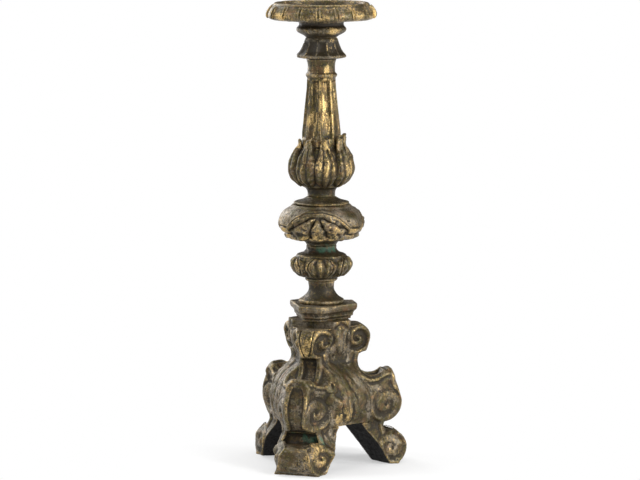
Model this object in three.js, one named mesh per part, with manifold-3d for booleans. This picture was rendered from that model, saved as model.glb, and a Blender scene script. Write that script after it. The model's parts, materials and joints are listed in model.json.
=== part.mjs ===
// A torchere candle stand: turned and carved sections threaded on a tie rod over a three-legged scroll base.
// Millimetres, +Z up. The origin is where the stand's axis meets the floor, and the front leg points to -Y.

import * as THREE from "three";
import { mergeVertices } from "three/addons/utils/BufferGeometryUtils.js";
import Module from "manifold-3d";

const wasm = await Module();
wasm.setup();

// ---------------------------------------------------------------- driving dimensions

const GAP = 0.3; // clearance between pieces that touch
const LEGS = 3;
const CURVE_STEPS = 2; // straight runs in each curved stretch of a turned silhouette

const ROD = { radius: 4.76, boreClearance: 0.45, endBelowNut: 7, sunkInNut: 0.6 };
const SPIGOT = { radius: 10, height: 4 };

// The base. Its heights are drawn for a base 193.4 tall and stretch with BASE.height.
const DRAWN_BASE = 193.4;
const BASE = { height: 193.4, crownWall: 10, wall: 6, panelRecess: 2.5 };
const CORE_FLOOR = 58; // the core's lower edge, at the top of the arches
// Where leg and core meet: upright faces at two distances from the axis, with a slope between them.
const SEAT = { upper: 33, upperFrom: 128, lower: 58, lowerTo: 104 };
const UPPER_VOLUTE = { rho: 46.3, z: 168, radius: 18 };
const BITE = { rho: 66.5, z: 137, radius: 20 }; // the hollow of the C-scroll
const SCROLL_LIP = { rho: 60.8, z: 150.6 }; // the lower end of the upper volute
const SCROLL_TIP = { rho: 90, z: 121, radius: 4.8 };
const BIG_VOLUTE = { rho: 82.5, z: 79, radius: 24 };
const FOOT_VOLUTE = { rho: 89.6, z: 21.5, radius: 22 };
const NOTCH = { rho: 79.5, z: 51 };
const SOLE = { inner: 69, outer: 99 }; // the flat under each foot, from the axis
const SHELF_INNER = 26; // how far the legs reach in under the core
const ARCH = { topHalf: 17.7, floorHalf: 54, corner: 5 };
// The panel faces, [height, distance from the axis], from the floor up.
const PANEL_FACE = [
  [0, 72.5], [12, 73.5], [28, 72.5], [41, 65], [52, 58.5], [62, 61.5], [76, 66], [90, 66.5],
  [104, 62.5], [116, 56.5], [126, 48], [136, 34.5], [148, 34.5], [160, 40], [174, 42.5], [184, 41.5],
];
const SCREW_HEIGHT = { upper: 160, lower: 82 };

// The turned and carved sections, from the base up.
const ABACUS = { height: 20.3, topFace: 35.6, topCorner: 45.5, bottomFace: 28.2, bottomCorner: 37.5 };
const WAIST = { height: 29.2, footRadius: 30, throatRadius: 16.4, topRadius: 17.8 };
const LOWER_KNOP = {
  height: 47.2, footRadius: 21, bellyRadius: 40.5, shoulderRadius: 32.5, neckRadius: 19.4,
  lobes: 5, lobeDepth: 4, turn: 0.3,
};
const ARCHED_KNOP = {
  height: 53.7, neckRadius: 19.6, lipRadius: 48, bellyRadius: 57, topRadius: 40, archDepth: 5,
};
const DISC = { height: 10.2, edgeRadius: 36.7, neckRadius: 18.6 };
const BULB = {
  seatHeight: 68.2, neckRadius: 18.4, bellyRadius: 43, mouthWall: 4.8, leaves: 6, leafDepth: 4.5,
};
const LEAF_TIP = { height: 13.5, curl: 3, drop: 9 };
const COLUMN = {
  height: 112, footRadius: 25.4, neckRadius: 18.4, beadRadius: 21, topRadius: 17.6,
  flutes: 8, fluteDepth: 2, turn: 0.24,
};
const BELL = {
  height: 27.7, throatRadius: 17.5, topRadius: 20.7, rimRadius: 33.2, pleats: 14, pleatDepth: 2.2,
};
const COLLAR = { height: 21.2, footRadius: 20.4, ringRadius: 33, neckRadius: 29.2 };
const PAN = {
  height: 23.9, rimRadius: 71.5, lipRadius: 61, recessRadius: 54, recessDepth: 10, hubRadius: 31,
};
const RIM_RIBS = { count: 18, height: 1.1 };
const WELL = { radius: 14.5, depth: 7 }; // the sunk seat of the pan's nut

// Hardware.
const PAN_NUT = { acrossFlats: 16, height: 4.2 };
const PAN_WASHER = { radius: 11.5, thickness: 1.6 };
const BASE_NUT = { acrossFlats: 17, height: 8 };
const BASE_WASHER = { radius: 14, thickness: 2 };
const SCREW = { radius: 3, headRadius: 5, headHeight: 6, socketRadius: 2.5, socketDepth: 3, bite: 22 };
const SCREW_WASHER = { radius: 6.3, thickness: 1.6 };
const DOWEL = { radius: 2, length: 10, offset: 21 };

// The castings are hollow around the rod where they are fat enough.
const CORE_RADIUS = { archedKnop: 27, lowerKnop: 21, bulb: 23, column: 10.5 };
const CORE_WALL = { above: 7, below: 9 };

const BORE = ROD.radius + ROD.boreClearance;
const SOCKET = { radius: SPIGOT.radius + GAP, depth: SPIGOT.height + GAP };
const NUT_BORE = ROD.radius + GAP;
const SCREW_HOLE = SCREW.radius + GAP;
const REACH = 200; // beyond the stand's own half width, for outlines that cut right through it

// ---------------------------------------------------------------- levels of the stack

function stackLevels(base, sections) {
  const levels = {};
  let z = base;
  for (const [name, height] of sections) {
    levels[name] = z + GAP;
    z = levels[name] + height;
  }
  return levels;
}

const LEVEL = stackLevels(BASE.height, [
  ["abacus", ABACUS.height],
  ["waist", WAIST.height],
  ["lowerKnop", LOWER_KNOP.height],
  ["archedKnop", ARCHED_KNOP.height],
  ["disc", DISC.height],
  ["bulb", BULB.seatHeight],
  ["column", COLUMN.height],
  ["bell", BELL.height],
  ["collar", COLLAR.height],
  ["pan", PAN.height],
]);

// ---------------------------------------------------------------- materials

function metal(name, color, roughness, metalness) {
  return new THREE.MeshStandardMaterial({ name, color, roughness, metalness });
}

const agedBronze = metal("aged_bronze", 0x6f5f44, 0.55, 0.7);
const rubbedBronze = metal("rubbed_bronze", 0x8d7443, 0.45, 0.8);
const darkBronze = metal("dark_bronze", 0x4b4335, 0.65, 0.6);
const blackedSteel = metal("blacked_steel", 0x2b2a28, 0.5, 0.8);

// ---------------------------------------------------------------- solids from geometries

function solidOf(geometry) {
  const bare = geometry.index ? geometry.toNonIndexed() : geometry.clone();
  bare.deleteAttribute("normal");
  bare.deleteAttribute("uv");
  const merged = mergeVertices(bare, 1e-3);
  return new wasm.Manifold(
    new wasm.Mesh({
      numProp: 3,
      vertProperties: merged.attributes.position.array,
      triVerts: new Uint32Array(merged.index.array),
    }),
  );
}

function geometryOf(solid) {
  const { numProp, numVert, vertProperties, triVerts } = solid.getMesh();
  const positions = new Float32Array(numVert * 3);
  for (let i = 0; i < numVert; i++) {
    positions.set(vertProperties.subarray(i * numProp, i * numProp + 3), i * 3);
  }
  const indexed = new THREE.BufferGeometry();
  indexed.setAttribute("position", new THREE.BufferAttribute(positions, 3));
  indexed.setIndex(new THREE.BufferAttribute(triVerts, 1));
  const flat = indexed.toNonIndexed();
  flat.computeVertexNormals();
  return flat;
}

function cut(solid, tools) {
  return tools.reduce((left, tool) => left.subtract(tool), solid);
}

// ---------------------------------------------------------------- placing outlines

// A lathe about the Z axis: the outline's x is the radius and its y the height.
function turned(points, segments) {
  return new THREE.LatheGeometry(points, segments).rotateX(Math.PI / 2);
}

// A round bar about the Z axis, centred on the origin.
function uprightBar(radius, length, sides = 24) {
  return new THREE.CylinderGeometry(radius, radius, length, sides).rotateX(Math.PI / 2);
}

function extruded(shape, depth) {
  return new THREE.ExtrudeGeometry(shape, { depth, bevelEnabled: false, curveSegments: 4 });
}

// An outline of (distance from the axis, height), given a thickness across the radial line at an azimuth.
// Azimuth 0 is the front leg's direction, -Y, and it grows towards +X.
function acrossLeg(shape, thickness, azimuth) {
  const geometry = extruded(shape, thickness);
  geometry.translate(0, 0, -thickness / 2);
  geometry.rotateX(Math.PI / 2);
  geometry.rotateZ(azimuth - Math.PI / 2);
  return solidOf(geometry);
}

// An outline of (sideways, height), extruded outwards from one distance from the axis to another.
function throughPanel(shape, from, to, azimuth) {
  const geometry = extruded(shape, to - from);
  geometry.translate(0, 0, from);
  geometry.rotateX(Math.PI / 2);
  geometry.rotateZ(azimuth);
  return solidOf(geometry);
}

// A round bar along the radial line at an azimuth, between two distances from the axis.
function radialBar(radius, from, to, z, azimuth, sides = 10) {
  const bar = new THREE.CylinderGeometry(radius, radius, to - from, sides);
  bar.translate(0, -(from + to) / 2, z);
  bar.rotateZ(azimuth);
  return solidOf(bar);
}

function polygon(points) {
  return new THREE.Shape(points.map(([x, y]) => new THREE.Vector2(x, y)));
}

// ---------------------------------------------------------------- turned sections

// The silhouette that `draw` traces, closed by a spigot on top, the rod's bore, a core and a socket below.
function sectionOutline({ height, bottomRadius, draw, core }) {
  const outline = new THREE.Path();
  outline.moveTo(SOCKET.radius, 0).lineTo(bottomRadius, 0);
  draw(outline);
  outline.lineTo(SPIGOT.radius, height).lineTo(SPIGOT.radius, height + SPIGOT.height);
  outline.lineTo(BORE, height + SPIGOT.height);
  if (core) {
    outline.lineTo(BORE, core.top).lineTo(core.radius, core.top);
    outline.lineTo(core.radius, core.bottom).lineTo(BORE, core.bottom);
  }
  outline.lineTo(BORE, SOCKET.depth).lineTo(SOCKET.radius, SOCKET.depth).lineTo(SOCKET.radius, 0);
  return outline;
}

function turnedSection(section, segments) {
  return turned(sectionOutline(section).getPoints(CURVE_STEPS), segments);
}

// Sinks the surface between `count` ridges; the first ridge is at azimuth 0.
// `depth(height)` is how deep the hollows are, and `ridge(phase)` is 0 on a ridge and 1 midway between two.
function hollowed(geometry, count, insideRadius, depth, ridge) {
  const p = geometry.attributes.position;
  for (let i = 0; i < p.count; i++) {
    const radius = Math.hypot(p.getX(i), p.getY(i));
    if (radius < insideRadius) continue;
    const phase = count * Math.atan2(p.getX(i), -p.getY(i));
    const scale = 1 - (depth(p.getZ(i)) * ridge(phase)) / radius;
    p.setXY(i, p.getX(i) * scale, p.getY(i) * scale);
  }
  return geometry;
}

const rounded = (phase) => (1 - Math.cos(phase)) / 2;
const scooped = (phase) => Math.abs(Math.sin(phase / 2)); // round hollows between sharp ridges
const lobed = (phase) => 1 - Math.abs(Math.cos(phase / 2)); // round lobes between sharp valleys
const inBand = (low, high, depth) => (z) => (z > low && z < high ? depth : 0);

function waistSpool() {
  const { height, footRadius, throatRadius, topRadius } = WAIST;
  const at = (share) => share * height;
  const draw = (outline) => {
    outline.lineTo(footRadius, at(0.04)).lineTo(footRadius, at(0.16));
    outline.quadraticCurveTo(throatRadius + 2, at(0.31), throatRadius, at(0.65));
    outline.quadraticCurveTo(throatRadius, at(0.86), topRadius, height);
  };
  return turnedSection({ height, bottomRadius: footRadius - 1.2, draw }, 30);
}

function lowerKnop() {
  const { height, footRadius, bellyRadius, shoulderRadius, neckRadius, lobes, lobeDepth } = LOWER_KNOP;
  const at = (share) => share * height;
  const draw = (outline) => {
    outline.lineTo(footRadius, at(0.05)).lineTo(footRadius - 1, at(0.093));
    outline.quadraticCurveTo(bellyRadius - 1, at(0.19), bellyRadius, at(0.477));
    outline.quadraticCurveTo(bellyRadius - 1.5, at(0.657), shoulderRadius, at(0.689));
    outline.lineTo(shoulderRadius - 0.5, at(0.73));
    outline.quadraticCurveTo(neckRadius + 1.5, at(0.763), neckRadius, at(0.911));
    outline.lineTo(neckRadius + 0.4, height);
  };
  const core = { radius: CORE_RADIUS.lowerKnop, bottom: at(0.254), top: at(0.703) };
  const section = turnedSection({ height, bottomRadius: footRadius - 1.5, draw, core }, lobes * 6);
  return hollowed(section, lobes, core.radius + 4, inBand(at(0.148), at(0.657), lobeDepth), lobed);
}

function archedKnop() {
  const { height, neckRadius, lipRadius, bellyRadius, topRadius, archDepth } = ARCHED_KNOP;
  const at = (share) => share * height;
  const draw = (outline) => {
    outline.lineTo(neckRadius + 0.6, at(0.03));
    outline.quadraticCurveTo(neckRadius + 3, at(0.145), lipRadius - 5, at(0.16));
    outline.lineTo(lipRadius, at(0.205)).lineTo(lipRadius + 2, at(0.335));
    outline.quadraticCurveTo(bellyRadius, at(0.41), bellyRadius, at(0.503));
    outline.quadraticCurveTo(bellyRadius - 1, at(0.8), topRadius + 2, at(0.922));
    outline.lineTo(topRadius - 2, height);
  };
  const core = { radius: CORE_RADIUS.archedKnop, bottom: at(0.224), top: height - CORE_WALL.above };
  const section = turnedSection({ height, bottomRadius: neckRadius, draw, core }, LEGS * 12);
  return hollowed(section, LEGS, core.radius + 4, inBand(at(0.6), at(0.857), archDepth), rounded);
}

function flangeDisc() {
  const { height, edgeRadius, neckRadius } = DISC;
  const at = (share) => share * height;
  const draw = (outline) => {
    outline.lineTo(edgeRadius, at(0.137)).lineTo(edgeRadius - 0.4, at(0.294));
    outline.quadraticCurveTo(neckRadius + 5, at(0.53), neckRadius, height);
  };
  return turnedSection({ height, bottomRadius: edgeRadius - 3, draw }, 30);
}

// The leaf tips stand up around the column's foot, so this section's top is a cup.
function leafBulb() {
  const { seatHeight, neckRadius, bellyRadius, mouthWall, leaves, leafDepth } = BULB;
  const at = (share) => share * seatHeight;
  const cupRadius = COLUMN.footRadius + GAP;
  const mouthRadius = cupRadius + mouthWall;
  const tipTop = seatHeight + LEAF_TIP.height;
  const draw = (outline) => {
    outline.quadraticCurveTo(neckRadius - 1.5, at(0.073), neckRadius + 2, at(0.161));
    outline.quadraticCurveTo(bellyRadius, at(0.308), bellyRadius, at(0.543));
    outline.quadraticCurveTo(bellyRadius - 2, at(0.806), mouthRadius, at(0.971));
    outline.quadraticCurveTo(mouthRadius - 1, tipTop - 6, mouthRadius + LEAF_TIP.curl, tipTop);
    outline.lineTo(cupRadius + 1, tipTop - 1).lineTo(cupRadius, seatHeight);
  };
  const core = { radius: CORE_RADIUS.bulb, bottom: at(0.25), top: seatHeight - CORE_WALL.above };
  const section = turnedSection({ height: seatHeight, bottomRadius: neckRadius, draw, core }, leaves * 6);
  hollowed(section, leaves, core.radius + 5, inBand(at(0.205), seatHeight, leafDepth), lobed);
  return dipped(section, leaves, seatHeight + SPIGOT.height + 1, LEAF_TIP.drop);
}

// Lowers the rim between the leaf tips.
function dipped(geometry, count, from, drop) {
  const p = geometry.attributes.position;
  for (let i = 0; i < p.count; i++) {
    if (p.getZ(i) < from) continue;
    const phase = count * Math.atan2(p.getX(i), -p.getY(i));
    p.setZ(i, p.getZ(i) - drop * rounded(phase));
  }
  return geometry;
}

function flutedColumn() {
  const { height, footRadius, neckRadius, beadRadius, topRadius, flutes, fluteDepth } = COLUMN;
  const at = (share) => share * height;
  const taper = (share) => neckRadius + (footRadius - neckRadius) * share;
  const draw = (outline) => {
    outline.lineTo(footRadius, at(0.134)).lineTo(taper(0.586), at(0.375)).lineTo(taper(0.129), at(0.643));
    outline.lineTo(neckRadius, at(0.777)).lineTo(beadRadius, at(0.799)).lineTo(beadRadius, at(0.826));
    outline.lineTo(neckRadius, at(0.848)).lineTo(neckRadius - 0.2, at(0.955)).lineTo(topRadius, height);
  };
  const core = { radius: CORE_RADIUS.column, bottom: CORE_WALL.below, top: height - CORE_WALL.above };
  const section = turnedSection({ height, bottomRadius: footRadius, draw, core }, flutes * 4);
  return hollowed(section, flutes, core.radius + 4, inBand(at(0.161), at(0.768), fluteDepth), scooped);
}

function bellSkirt() {
  const { height, throatRadius, topRadius, rimRadius, pleats, pleatDepth } = BELL;
  const at = (share) => share * height;
  const draw = (outline) => {
    outline.lineTo(throatRadius + 8.5, at(0.02)).lineTo(rimRadius, at(0.08)).lineTo(rimRadius, at(0.2));
    outline.quadraticCurveTo(topRadius + 4.3, at(0.32), topRadius + 1.7, at(0.65));
    outline.lineTo(topRadius, height);
  };
  const section = turnedSection({ height, bottomRadius: throatRadius, draw }, pleats * 3);
  return hollowed(section, pleats, throatRadius + 0.5, inBand(at(0.04), at(0.72), pleatDepth), scooped);
}

function panCollar() {
  const { height, footRadius, ringRadius, neckRadius } = COLLAR;
  const at = (share) => share * height;
  const draw = (outline) => {
    outline.lineTo(footRadius + 3.1, at(0.123)).lineTo(ringRadius - 2, at(0.283));
    outline.quadraticCurveTo(ringRadius + 1.6, at(0.448), ringRadius - 1.4, at(0.613));
    outline.lineTo(neckRadius, at(0.755)).lineTo(neckRadius + 1, height);
  };
  return turnedSection({ height, bottomRadius: footRadius, draw }, 30);
}

function dripPan() {
  const { height, rimRadius, lipRadius, recessRadius, recessDepth, hubRadius } = PAN;
  const floor = height - recessDepth;
  const at = (share) => share * height;
  const outline = new THREE.Path();
  outline.moveTo(SOCKET.radius, 0).lineTo(hubRadius, 0).lineTo(hubRadius + 1, at(0.067));
  outline.lineTo(lipRadius + 1, at(0.079));
  outline.quadraticCurveTo(rimRadius - 2, at(0.167), rimRadius, at(0.439));
  outline.quadraticCurveTo(rimRadius - 1, at(0.837), lipRadius + 2, at(0.933));
  outline.lineTo(lipRadius - 0.6, height).lineTo(lipRadius - 3.4, at(0.975));
  outline.lineTo(recessRadius + 1, floor + recessDepth / 2).lineTo(recessRadius - 1, floor);
  outline.lineTo(WELL.radius, floor).lineTo(WELL.radius, floor - WELL.depth);
  outline.lineTo(BORE, floor - WELL.depth).lineTo(BORE, SOCKET.depth);
  outline.lineTo(SOCKET.radius, SOCKET.depth).lineTo(SOCKET.radius, 0);
  const pan = turned(outline.getPoints(CURVE_STEPS), RIM_RIBS.count * 3);
  const between = (phase) => (Math.cos(phase) > 0.9 ? 0 : 1);
  return hollowed(pan, RIM_RIBS.count, lipRadius + 2, inBand(at(0.2), at(0.92), RIM_RIBS.height), between);
}

// ---------------------------------------------------------------- three-sided base

const rise = (z) => (z * BASE.height) / DRAWN_BASE;
const coreFloor = rise(CORE_FLOOR);

// The part of space within a distance of the axis on one side; `profile` is [height, distance] from below.
function panelSide(profile, azimuth) {
  const outline = profile.map(([z, distance]) => [distance, z]);
  const [low, high] = [profile[0][0], profile.at(-1)[0]];
  return acrossLeg(polygon([...outline, [-REACH, high], [-REACH, low]]), 2 * REACH, azimuth);
}

// The panel's face between two heights, moved in by `inset`.
function panelProfile(inset, low, high) {
  const heights = PANEL_FACE.map(([z]) => rise(z)).filter((z) => z > low + 2 && z < high - 2);
  return [low, ...heights, high].map((z) => [z, panelDistance(z) - inset]);
}

function panelDistance(z) {
  const face = PANEL_FACE.map(([height, distance]) => [rise(height), distance]);
  const above = face.findIndex(([height]) => height >= z);
  if (above < 0) return face.at(-1)[1];
  const [z0, d0] = face[Math.max(0, above - 1)];
  const [z1, d1] = face[above];
  return z1 > z0 ? d0 + ((d1 - d0) * (z - z0)) / (z1 - z0) : d1;
}

const PANEL_AZIMUTHS = [1, 3, 5].map((sixths) => (sixths * Math.PI) / LEGS);
const LEG_AZIMUTHS = [0, 2, 4].map((sixths) => (sixths * Math.PI) / LEGS);

// The leg's outline in its own radial plane: sole, foot volute, big volute, C-scroll, upper volute, seat.
function legOutline() {
  const shape = new THREE.Shape();
  const { upper, upperFrom, lower, lowerTo } = SEAT;
  const round = (volute, from, to, clockwise = false) =>
    shape.absarc(volute.rho, volute.z, volute.radius, from, to, clockwise);
  shape.moveTo(SOLE.inner, 0).lineTo(SOLE.outer, 0);
  round(FOOT_VOLUTE, -1.05, 1.9);
  shape.lineTo(NOTCH.rho, NOTCH.z);
  round(BIG_VOLUTE, -1.62, 0.35);
  round(SCROLL_TIP, 0.3, 2.7);
  round(BITE, -0.72, -3.59, true);
  shape.lineTo(SCROLL_LIP.rho - 1.5, SCROLL_LIP.z - 3).lineTo(SCROLL_LIP.rho, SCROLL_LIP.z);
  round(UPPER_VOLUTE, -0.35, 1.75);
  shape.lineTo(upper, UPPER_VOLUTE.z + UPPER_VOLUTE.radius - 1);
  shape.lineTo(upper, upperFrom).lineTo(lower, lowerTo).lineTo(lower, CORE_FLOOR - GAP);
  shape.lineTo(SHELF_INNER, CORE_FLOOR - GAP).closePath();
  return polygon(shape.getPoints(4).map(({ x, y }) => [x, rise(y)]));
}

function archOutline() {
  const { topHalf, floorHalf, corner } = ARCH;
  const slope = (floorHalf - topHalf) / coreFloor;
  const below = 5;
  const shape = new THREE.Shape();
  shape.moveTo(-floorHalf - slope * below, -below).lineTo(floorHalf + slope * below, -below);
  shape.lineTo(topHalf + slope * corner, coreFloor - corner);
  shape.quadraticCurveTo(topHalf, coreFloor, topHalf - corner, coreFloor);
  shape.lineTo(corner - topHalf, coreFloor);
  shape.quadraticCurveTo(-topHalf, coreFloor, -topHalf - slope * corner, coreFloor - corner);
  return shape.closePath();
}

const screwSeats = { upper: SEAT.upper, lower: SEAT.lower };

// One leg, pointing to azimuth 0; its sides lie on the planes of the two panels next to it.
function scrollLeg() {
  const faces = panelProfile(0, 0, BASE.height);
  let leg = acrossLeg(legOutline(), REACH, 0);
  for (const azimuth of [Math.PI / LEGS, -Math.PI / LEGS]) {
    leg = leg.intersect(panelSide(faces, azimuth));
    leg = leg.subtract(throughPanel(archOutline(), 0, REACH, azimuth));
  }
  const holes = Object.entries(screwSeats).map(([place, seat]) =>
    radialBar(SCREW_HOLE, seat - 2, seat + SCREW.bite + GAP, rise(SCREW_HEIGHT[place]), 0),
  );
  return cut(leg, holes);
}

// The three-sided body: bounded by the panels and by the faces that the legs seat on.
function baseCore() {
  const body = coreBody(0, coreFloor, BASE.height);
  const cavity = coreBody(BASE.wall, coreFloor - 5, BASE.height - BASE.crownWall);
  const rodHole = solidOf(uprightBar(BORE, 4 * BASE.crownWall).translate(0, 0, BASE.height));
  const spigot = solidOf(uprightBar(SPIGOT.radius, 2 * SPIGOT.height).translate(0, 0, BASE.height));
  const holes = LEG_AZIMUTHS.flatMap((azimuth) =>
    Object.entries(screwSeats).map(([place, seat]) =>
      radialBar(SCREW_HOLE, seat - 2 * BASE.wall, seat + 2, rise(SCREW_HEIGHT[place]), azimuth),
    ),
  );
  return cut(body.add(spigot), [cavity, rodHole, dowelHole(), ...holes]);
}

function coreBody(inset, low, high) {
  const faces = panelProfile(BASE.panelRecess + inset, low, high);
  const back = GAP + inset;
  const upper = SEAT.upper - back;
  const lower = SEAT.lower - back;
  const [slopeFrom, slopeTo] = [SEAT.lowerTo, SEAT.upperFrom].map((z) => rise(z) - back / 2);
  const seats = [[low, lower], [slopeFrom, lower], [slopeTo, upper], [high, upper]];
  const sides = PANEL_AZIMUTHS.map((azimuth) => panelSide(faces, azimuth));
  const corners = LEG_AZIMUTHS.map((azimuth) => panelSide(seats, azimuth));
  return [...sides, ...corners].reduce((left, right) => left.intersect(right));
}

function dowelBar(radius, length) {
  return uprightBar(radius, length, 12).translate(0, DOWEL.offset, BASE.height + GAP / 2);
}

function dowelHole() {
  return solidOf(dowelBar(DOWEL.radius + GAP, DOWEL.length + 2 * GAP));
}

// A three-sided plate with cut-off corners, its faces and corners set in or out from level to level.
function abacus() {
  const { height, topFace, topCorner, bottomFace, bottomCorner } = ABACUS;
  // How far the moulding has come out, as a share of its whole overhang, by share of the height.
  const moulding = [
    [0, 0], [0.158, 0.02], [0.197, 0.3], [0.365, 0.34], [0.493, 0.5], [0.611, 0.86], [0.67, 0.9],
    [0.7, 1], [1, 1],
  ];
  const profile = (low, high) => moulding.map(([z, out]) => [z * height, low + (high - low) * out]);
  const faces = PANEL_AZIMUTHS.map((azimuth) => panelSide(profile(bottomFace, topFace), azimuth));
  const corners = LEG_AZIMUTHS.map((azimuth) => panelSide(profile(bottomCorner, topCorner), azimuth));
  const plate = [...faces, ...corners].reduce((left, right) => left.intersect(right));
  const spigot = solidOf(uprightBar(SPIGOT.radius, 2 * SPIGOT.height).translate(0, 0, height));
  const bore = solidOf(uprightBar(BORE, 4 * height));
  const socket = solidOf(uprightBar(SOCKET.radius, 2 * SOCKET.depth));
  return cut(plate.add(spigot), [bore, socket, dowelHole().translate([0, 0, -LEVEL.abacus])]);
}

// ---------------------------------------------------------------- rod, nuts, washers, screws

function ring(inner, outer, low, high, segments) {
  const corners = [[inner, low], [outer, low], [outer, high], [inner, high], [inner, low]];
  return turned(corners.map(([r, z]) => new THREE.Vector2(r, z)), segments);
}

function hexNut({ acrossFlats, height }) {
  const corner = acrossFlats / Math.sqrt(3);
  const angles = [0, 1, 2, 3, 4, 5].map((sixth) => (sixth * Math.PI) / 3);
  const hexagon = polygon(angles.map((angle) => [corner * Math.cos(angle), corner * Math.sin(angle)]));
  hexagon.holes.push(new THREE.Path().absarc(0, 0, NUT_BORE, 0, 2 * Math.PI, true));
  return new THREE.ExtrudeGeometry(hexagon, { depth: height, bevelEnabled: false, curveSegments: 10 });
}

function tieRod(low, high) {
  const { radius } = ROD;
  const corners = [
    [0, low], [radius - 1, low], [radius, low + 1], [radius, high - 1], [radius - 1, high], [0, high],
  ];
  return turned(corners.map(([r, z]) => new THREE.Vector2(r, z)), 20);
}

// A socket-head screw lying along its leg's radial line: the head is towards the axis.
function legScrew(underHead) {
  const { radius, headRadius, headHeight, socketRadius, socketDepth, bite } = SCREW;
  const end = bite + BASE.wall + SCREW_WASHER.thickness;
  const corners = [
    [0, end], [radius, end], [radius, 0], [headRadius, 0], [headRadius, -headHeight],
    [socketRadius, -headHeight], [socketRadius, socketDepth - headHeight], [0, socketDepth - headHeight],
  ];
  const points = corners.reverse().map(([r, along]) => new THREE.Vector2(r, along));
  return turned(points, 8).rotateX(Math.PI / 2).translate(0, -underHead, 0);
}

function screwWasher(face) {
  const washer = ring(SCREW_HOLE, SCREW_WASHER.radius, 0, SCREW_WASHER.thickness, 10);
  return washer.rotateX(Math.PI / 2).translate(0, -face, 0);
}

// ---------------------------------------------------------------- the assembly

const stand = new THREE.Group();

function place(name, geometry, material, z = 0, azimuth = 0) {
  const mesh = new THREE.Mesh(geometry, material);
  mesh.name = name;
  mesh.position.z = z;
  mesh.rotation.z = azimuth;
  stand.add(mesh);
}

function addSections() {
  place("drip_pan", dripPan(), rubbedBronze, LEVEL.pan);
  place("pan_collar", panCollar(), agedBronze, LEVEL.collar);
  place("bell_skirt", bellSkirt(), agedBronze, LEVEL.bell);
  place("fluted_column", flutedColumn(), rubbedBronze, LEVEL.column, COLUMN.turn);
  place("leaf_bulb", leafBulb(), rubbedBronze, LEVEL.bulb);
  place("flange_disc", flangeDisc(), darkBronze, LEVEL.disc);
  place("arched_knop", archedKnop(), agedBronze, LEVEL.archedKnop);
  place("lower_knop", lowerKnop(), rubbedBronze, LEVEL.lowerKnop, LOWER_KNOP.turn);
  place("waist_spool", waistSpool(), darkBronze, LEVEL.waist);
  place("abacus", geometryOf(abacus()), agedBronze, LEVEL.abacus);
  place("base_core", geometryOf(baseCore()), agedBronze);
}

function addLegs() {
  const leg = geometryOf(scrollLeg());
  ["leg_front", "leg_right", "leg_left"].forEach((name, i) => {
    place(name, leg, rubbedBronze, 0, LEG_AZIMUTHS[i]);
    for (const [where, seat] of Object.entries(screwSeats)) {
      const washerFace = seat - GAP - BASE.wall - GAP - SCREW_WASHER.thickness;
      const height = rise(SCREW_HEIGHT[where]);
      place(`${name}_washer_${where}`, screwWasher(washerFace), blackedSteel, height, LEG_AZIMUTHS[i]);
      place(`${name}_screw_${where}`, legScrew(washerFace - GAP), blackedSteel, height, LEG_AZIMUTHS[i]);
    }
  });
}

function addTieRod() {
  const baseWasher = BASE.height - BASE.crownWall - GAP - BASE_WASHER.thickness;
  const baseNut = baseWasher - GAP - BASE_NUT.height;
  const panWasher = LEVEL.pan + PAN.height - PAN.recessDepth - WELL.depth + GAP;
  const panNut = panWasher + PAN_WASHER.thickness + GAP;
  const washer = ({ radius, thickness }) => ring(NUT_BORE, radius, 0, thickness, 16);
  place("base_washer", washer(BASE_WASHER), blackedSteel, baseWasher);
  place("base_nut", hexNut(BASE_NUT), blackedSteel, baseNut);
  place("pan_washer", washer(PAN_WASHER), blackedSteel, panWasher);
  place("pan_nut", hexNut(PAN_NUT), blackedSteel, panNut);
  place("tie_rod", tieRod(baseNut - ROD.endBelowNut, panNut + PAN_NUT.height - ROD.sunkInNut), blackedSteel);
  place("abacus_dowel", dowelBar(DOWEL.radius, DOWEL.length), blackedSteel);
}

addSections();
addLegs();
addTieRod();

export default stand;
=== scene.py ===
# %% [markdown]
# # A torchere candle stand in aged bronze
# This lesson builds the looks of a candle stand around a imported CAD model. The stand is a stack of turned
# and carved bronze sections on a three-legged scroll base. Each section of the CAD model is replaced by a
# finely carved mesh that stands in exactly the same place, and the hidden nuts and screws keep their shapes.
# Sizes are written in millimetres and turned into metres when a mesh is made.

import json
import math

import bpy
import numpy as np
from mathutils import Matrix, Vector

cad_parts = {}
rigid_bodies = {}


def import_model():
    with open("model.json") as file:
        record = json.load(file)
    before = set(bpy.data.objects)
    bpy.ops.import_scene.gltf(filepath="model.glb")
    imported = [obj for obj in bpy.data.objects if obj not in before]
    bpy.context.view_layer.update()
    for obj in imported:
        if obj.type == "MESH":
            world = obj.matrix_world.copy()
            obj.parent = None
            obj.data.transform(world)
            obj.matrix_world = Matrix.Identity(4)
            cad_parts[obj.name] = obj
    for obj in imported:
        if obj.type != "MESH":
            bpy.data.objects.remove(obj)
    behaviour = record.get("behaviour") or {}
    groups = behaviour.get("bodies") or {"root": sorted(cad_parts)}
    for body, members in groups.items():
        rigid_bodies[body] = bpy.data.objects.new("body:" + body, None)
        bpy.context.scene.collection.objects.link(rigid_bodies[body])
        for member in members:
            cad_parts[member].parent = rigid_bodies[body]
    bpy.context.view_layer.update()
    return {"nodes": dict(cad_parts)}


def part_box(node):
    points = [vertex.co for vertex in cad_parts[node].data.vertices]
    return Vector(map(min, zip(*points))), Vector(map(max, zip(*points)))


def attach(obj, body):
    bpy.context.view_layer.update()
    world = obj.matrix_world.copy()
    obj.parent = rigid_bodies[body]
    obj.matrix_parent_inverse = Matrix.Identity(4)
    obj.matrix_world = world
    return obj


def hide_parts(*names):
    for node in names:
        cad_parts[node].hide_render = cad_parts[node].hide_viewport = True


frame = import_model()
MM = 0.001
print("packed nodes:", len(frame["nodes"]))

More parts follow.
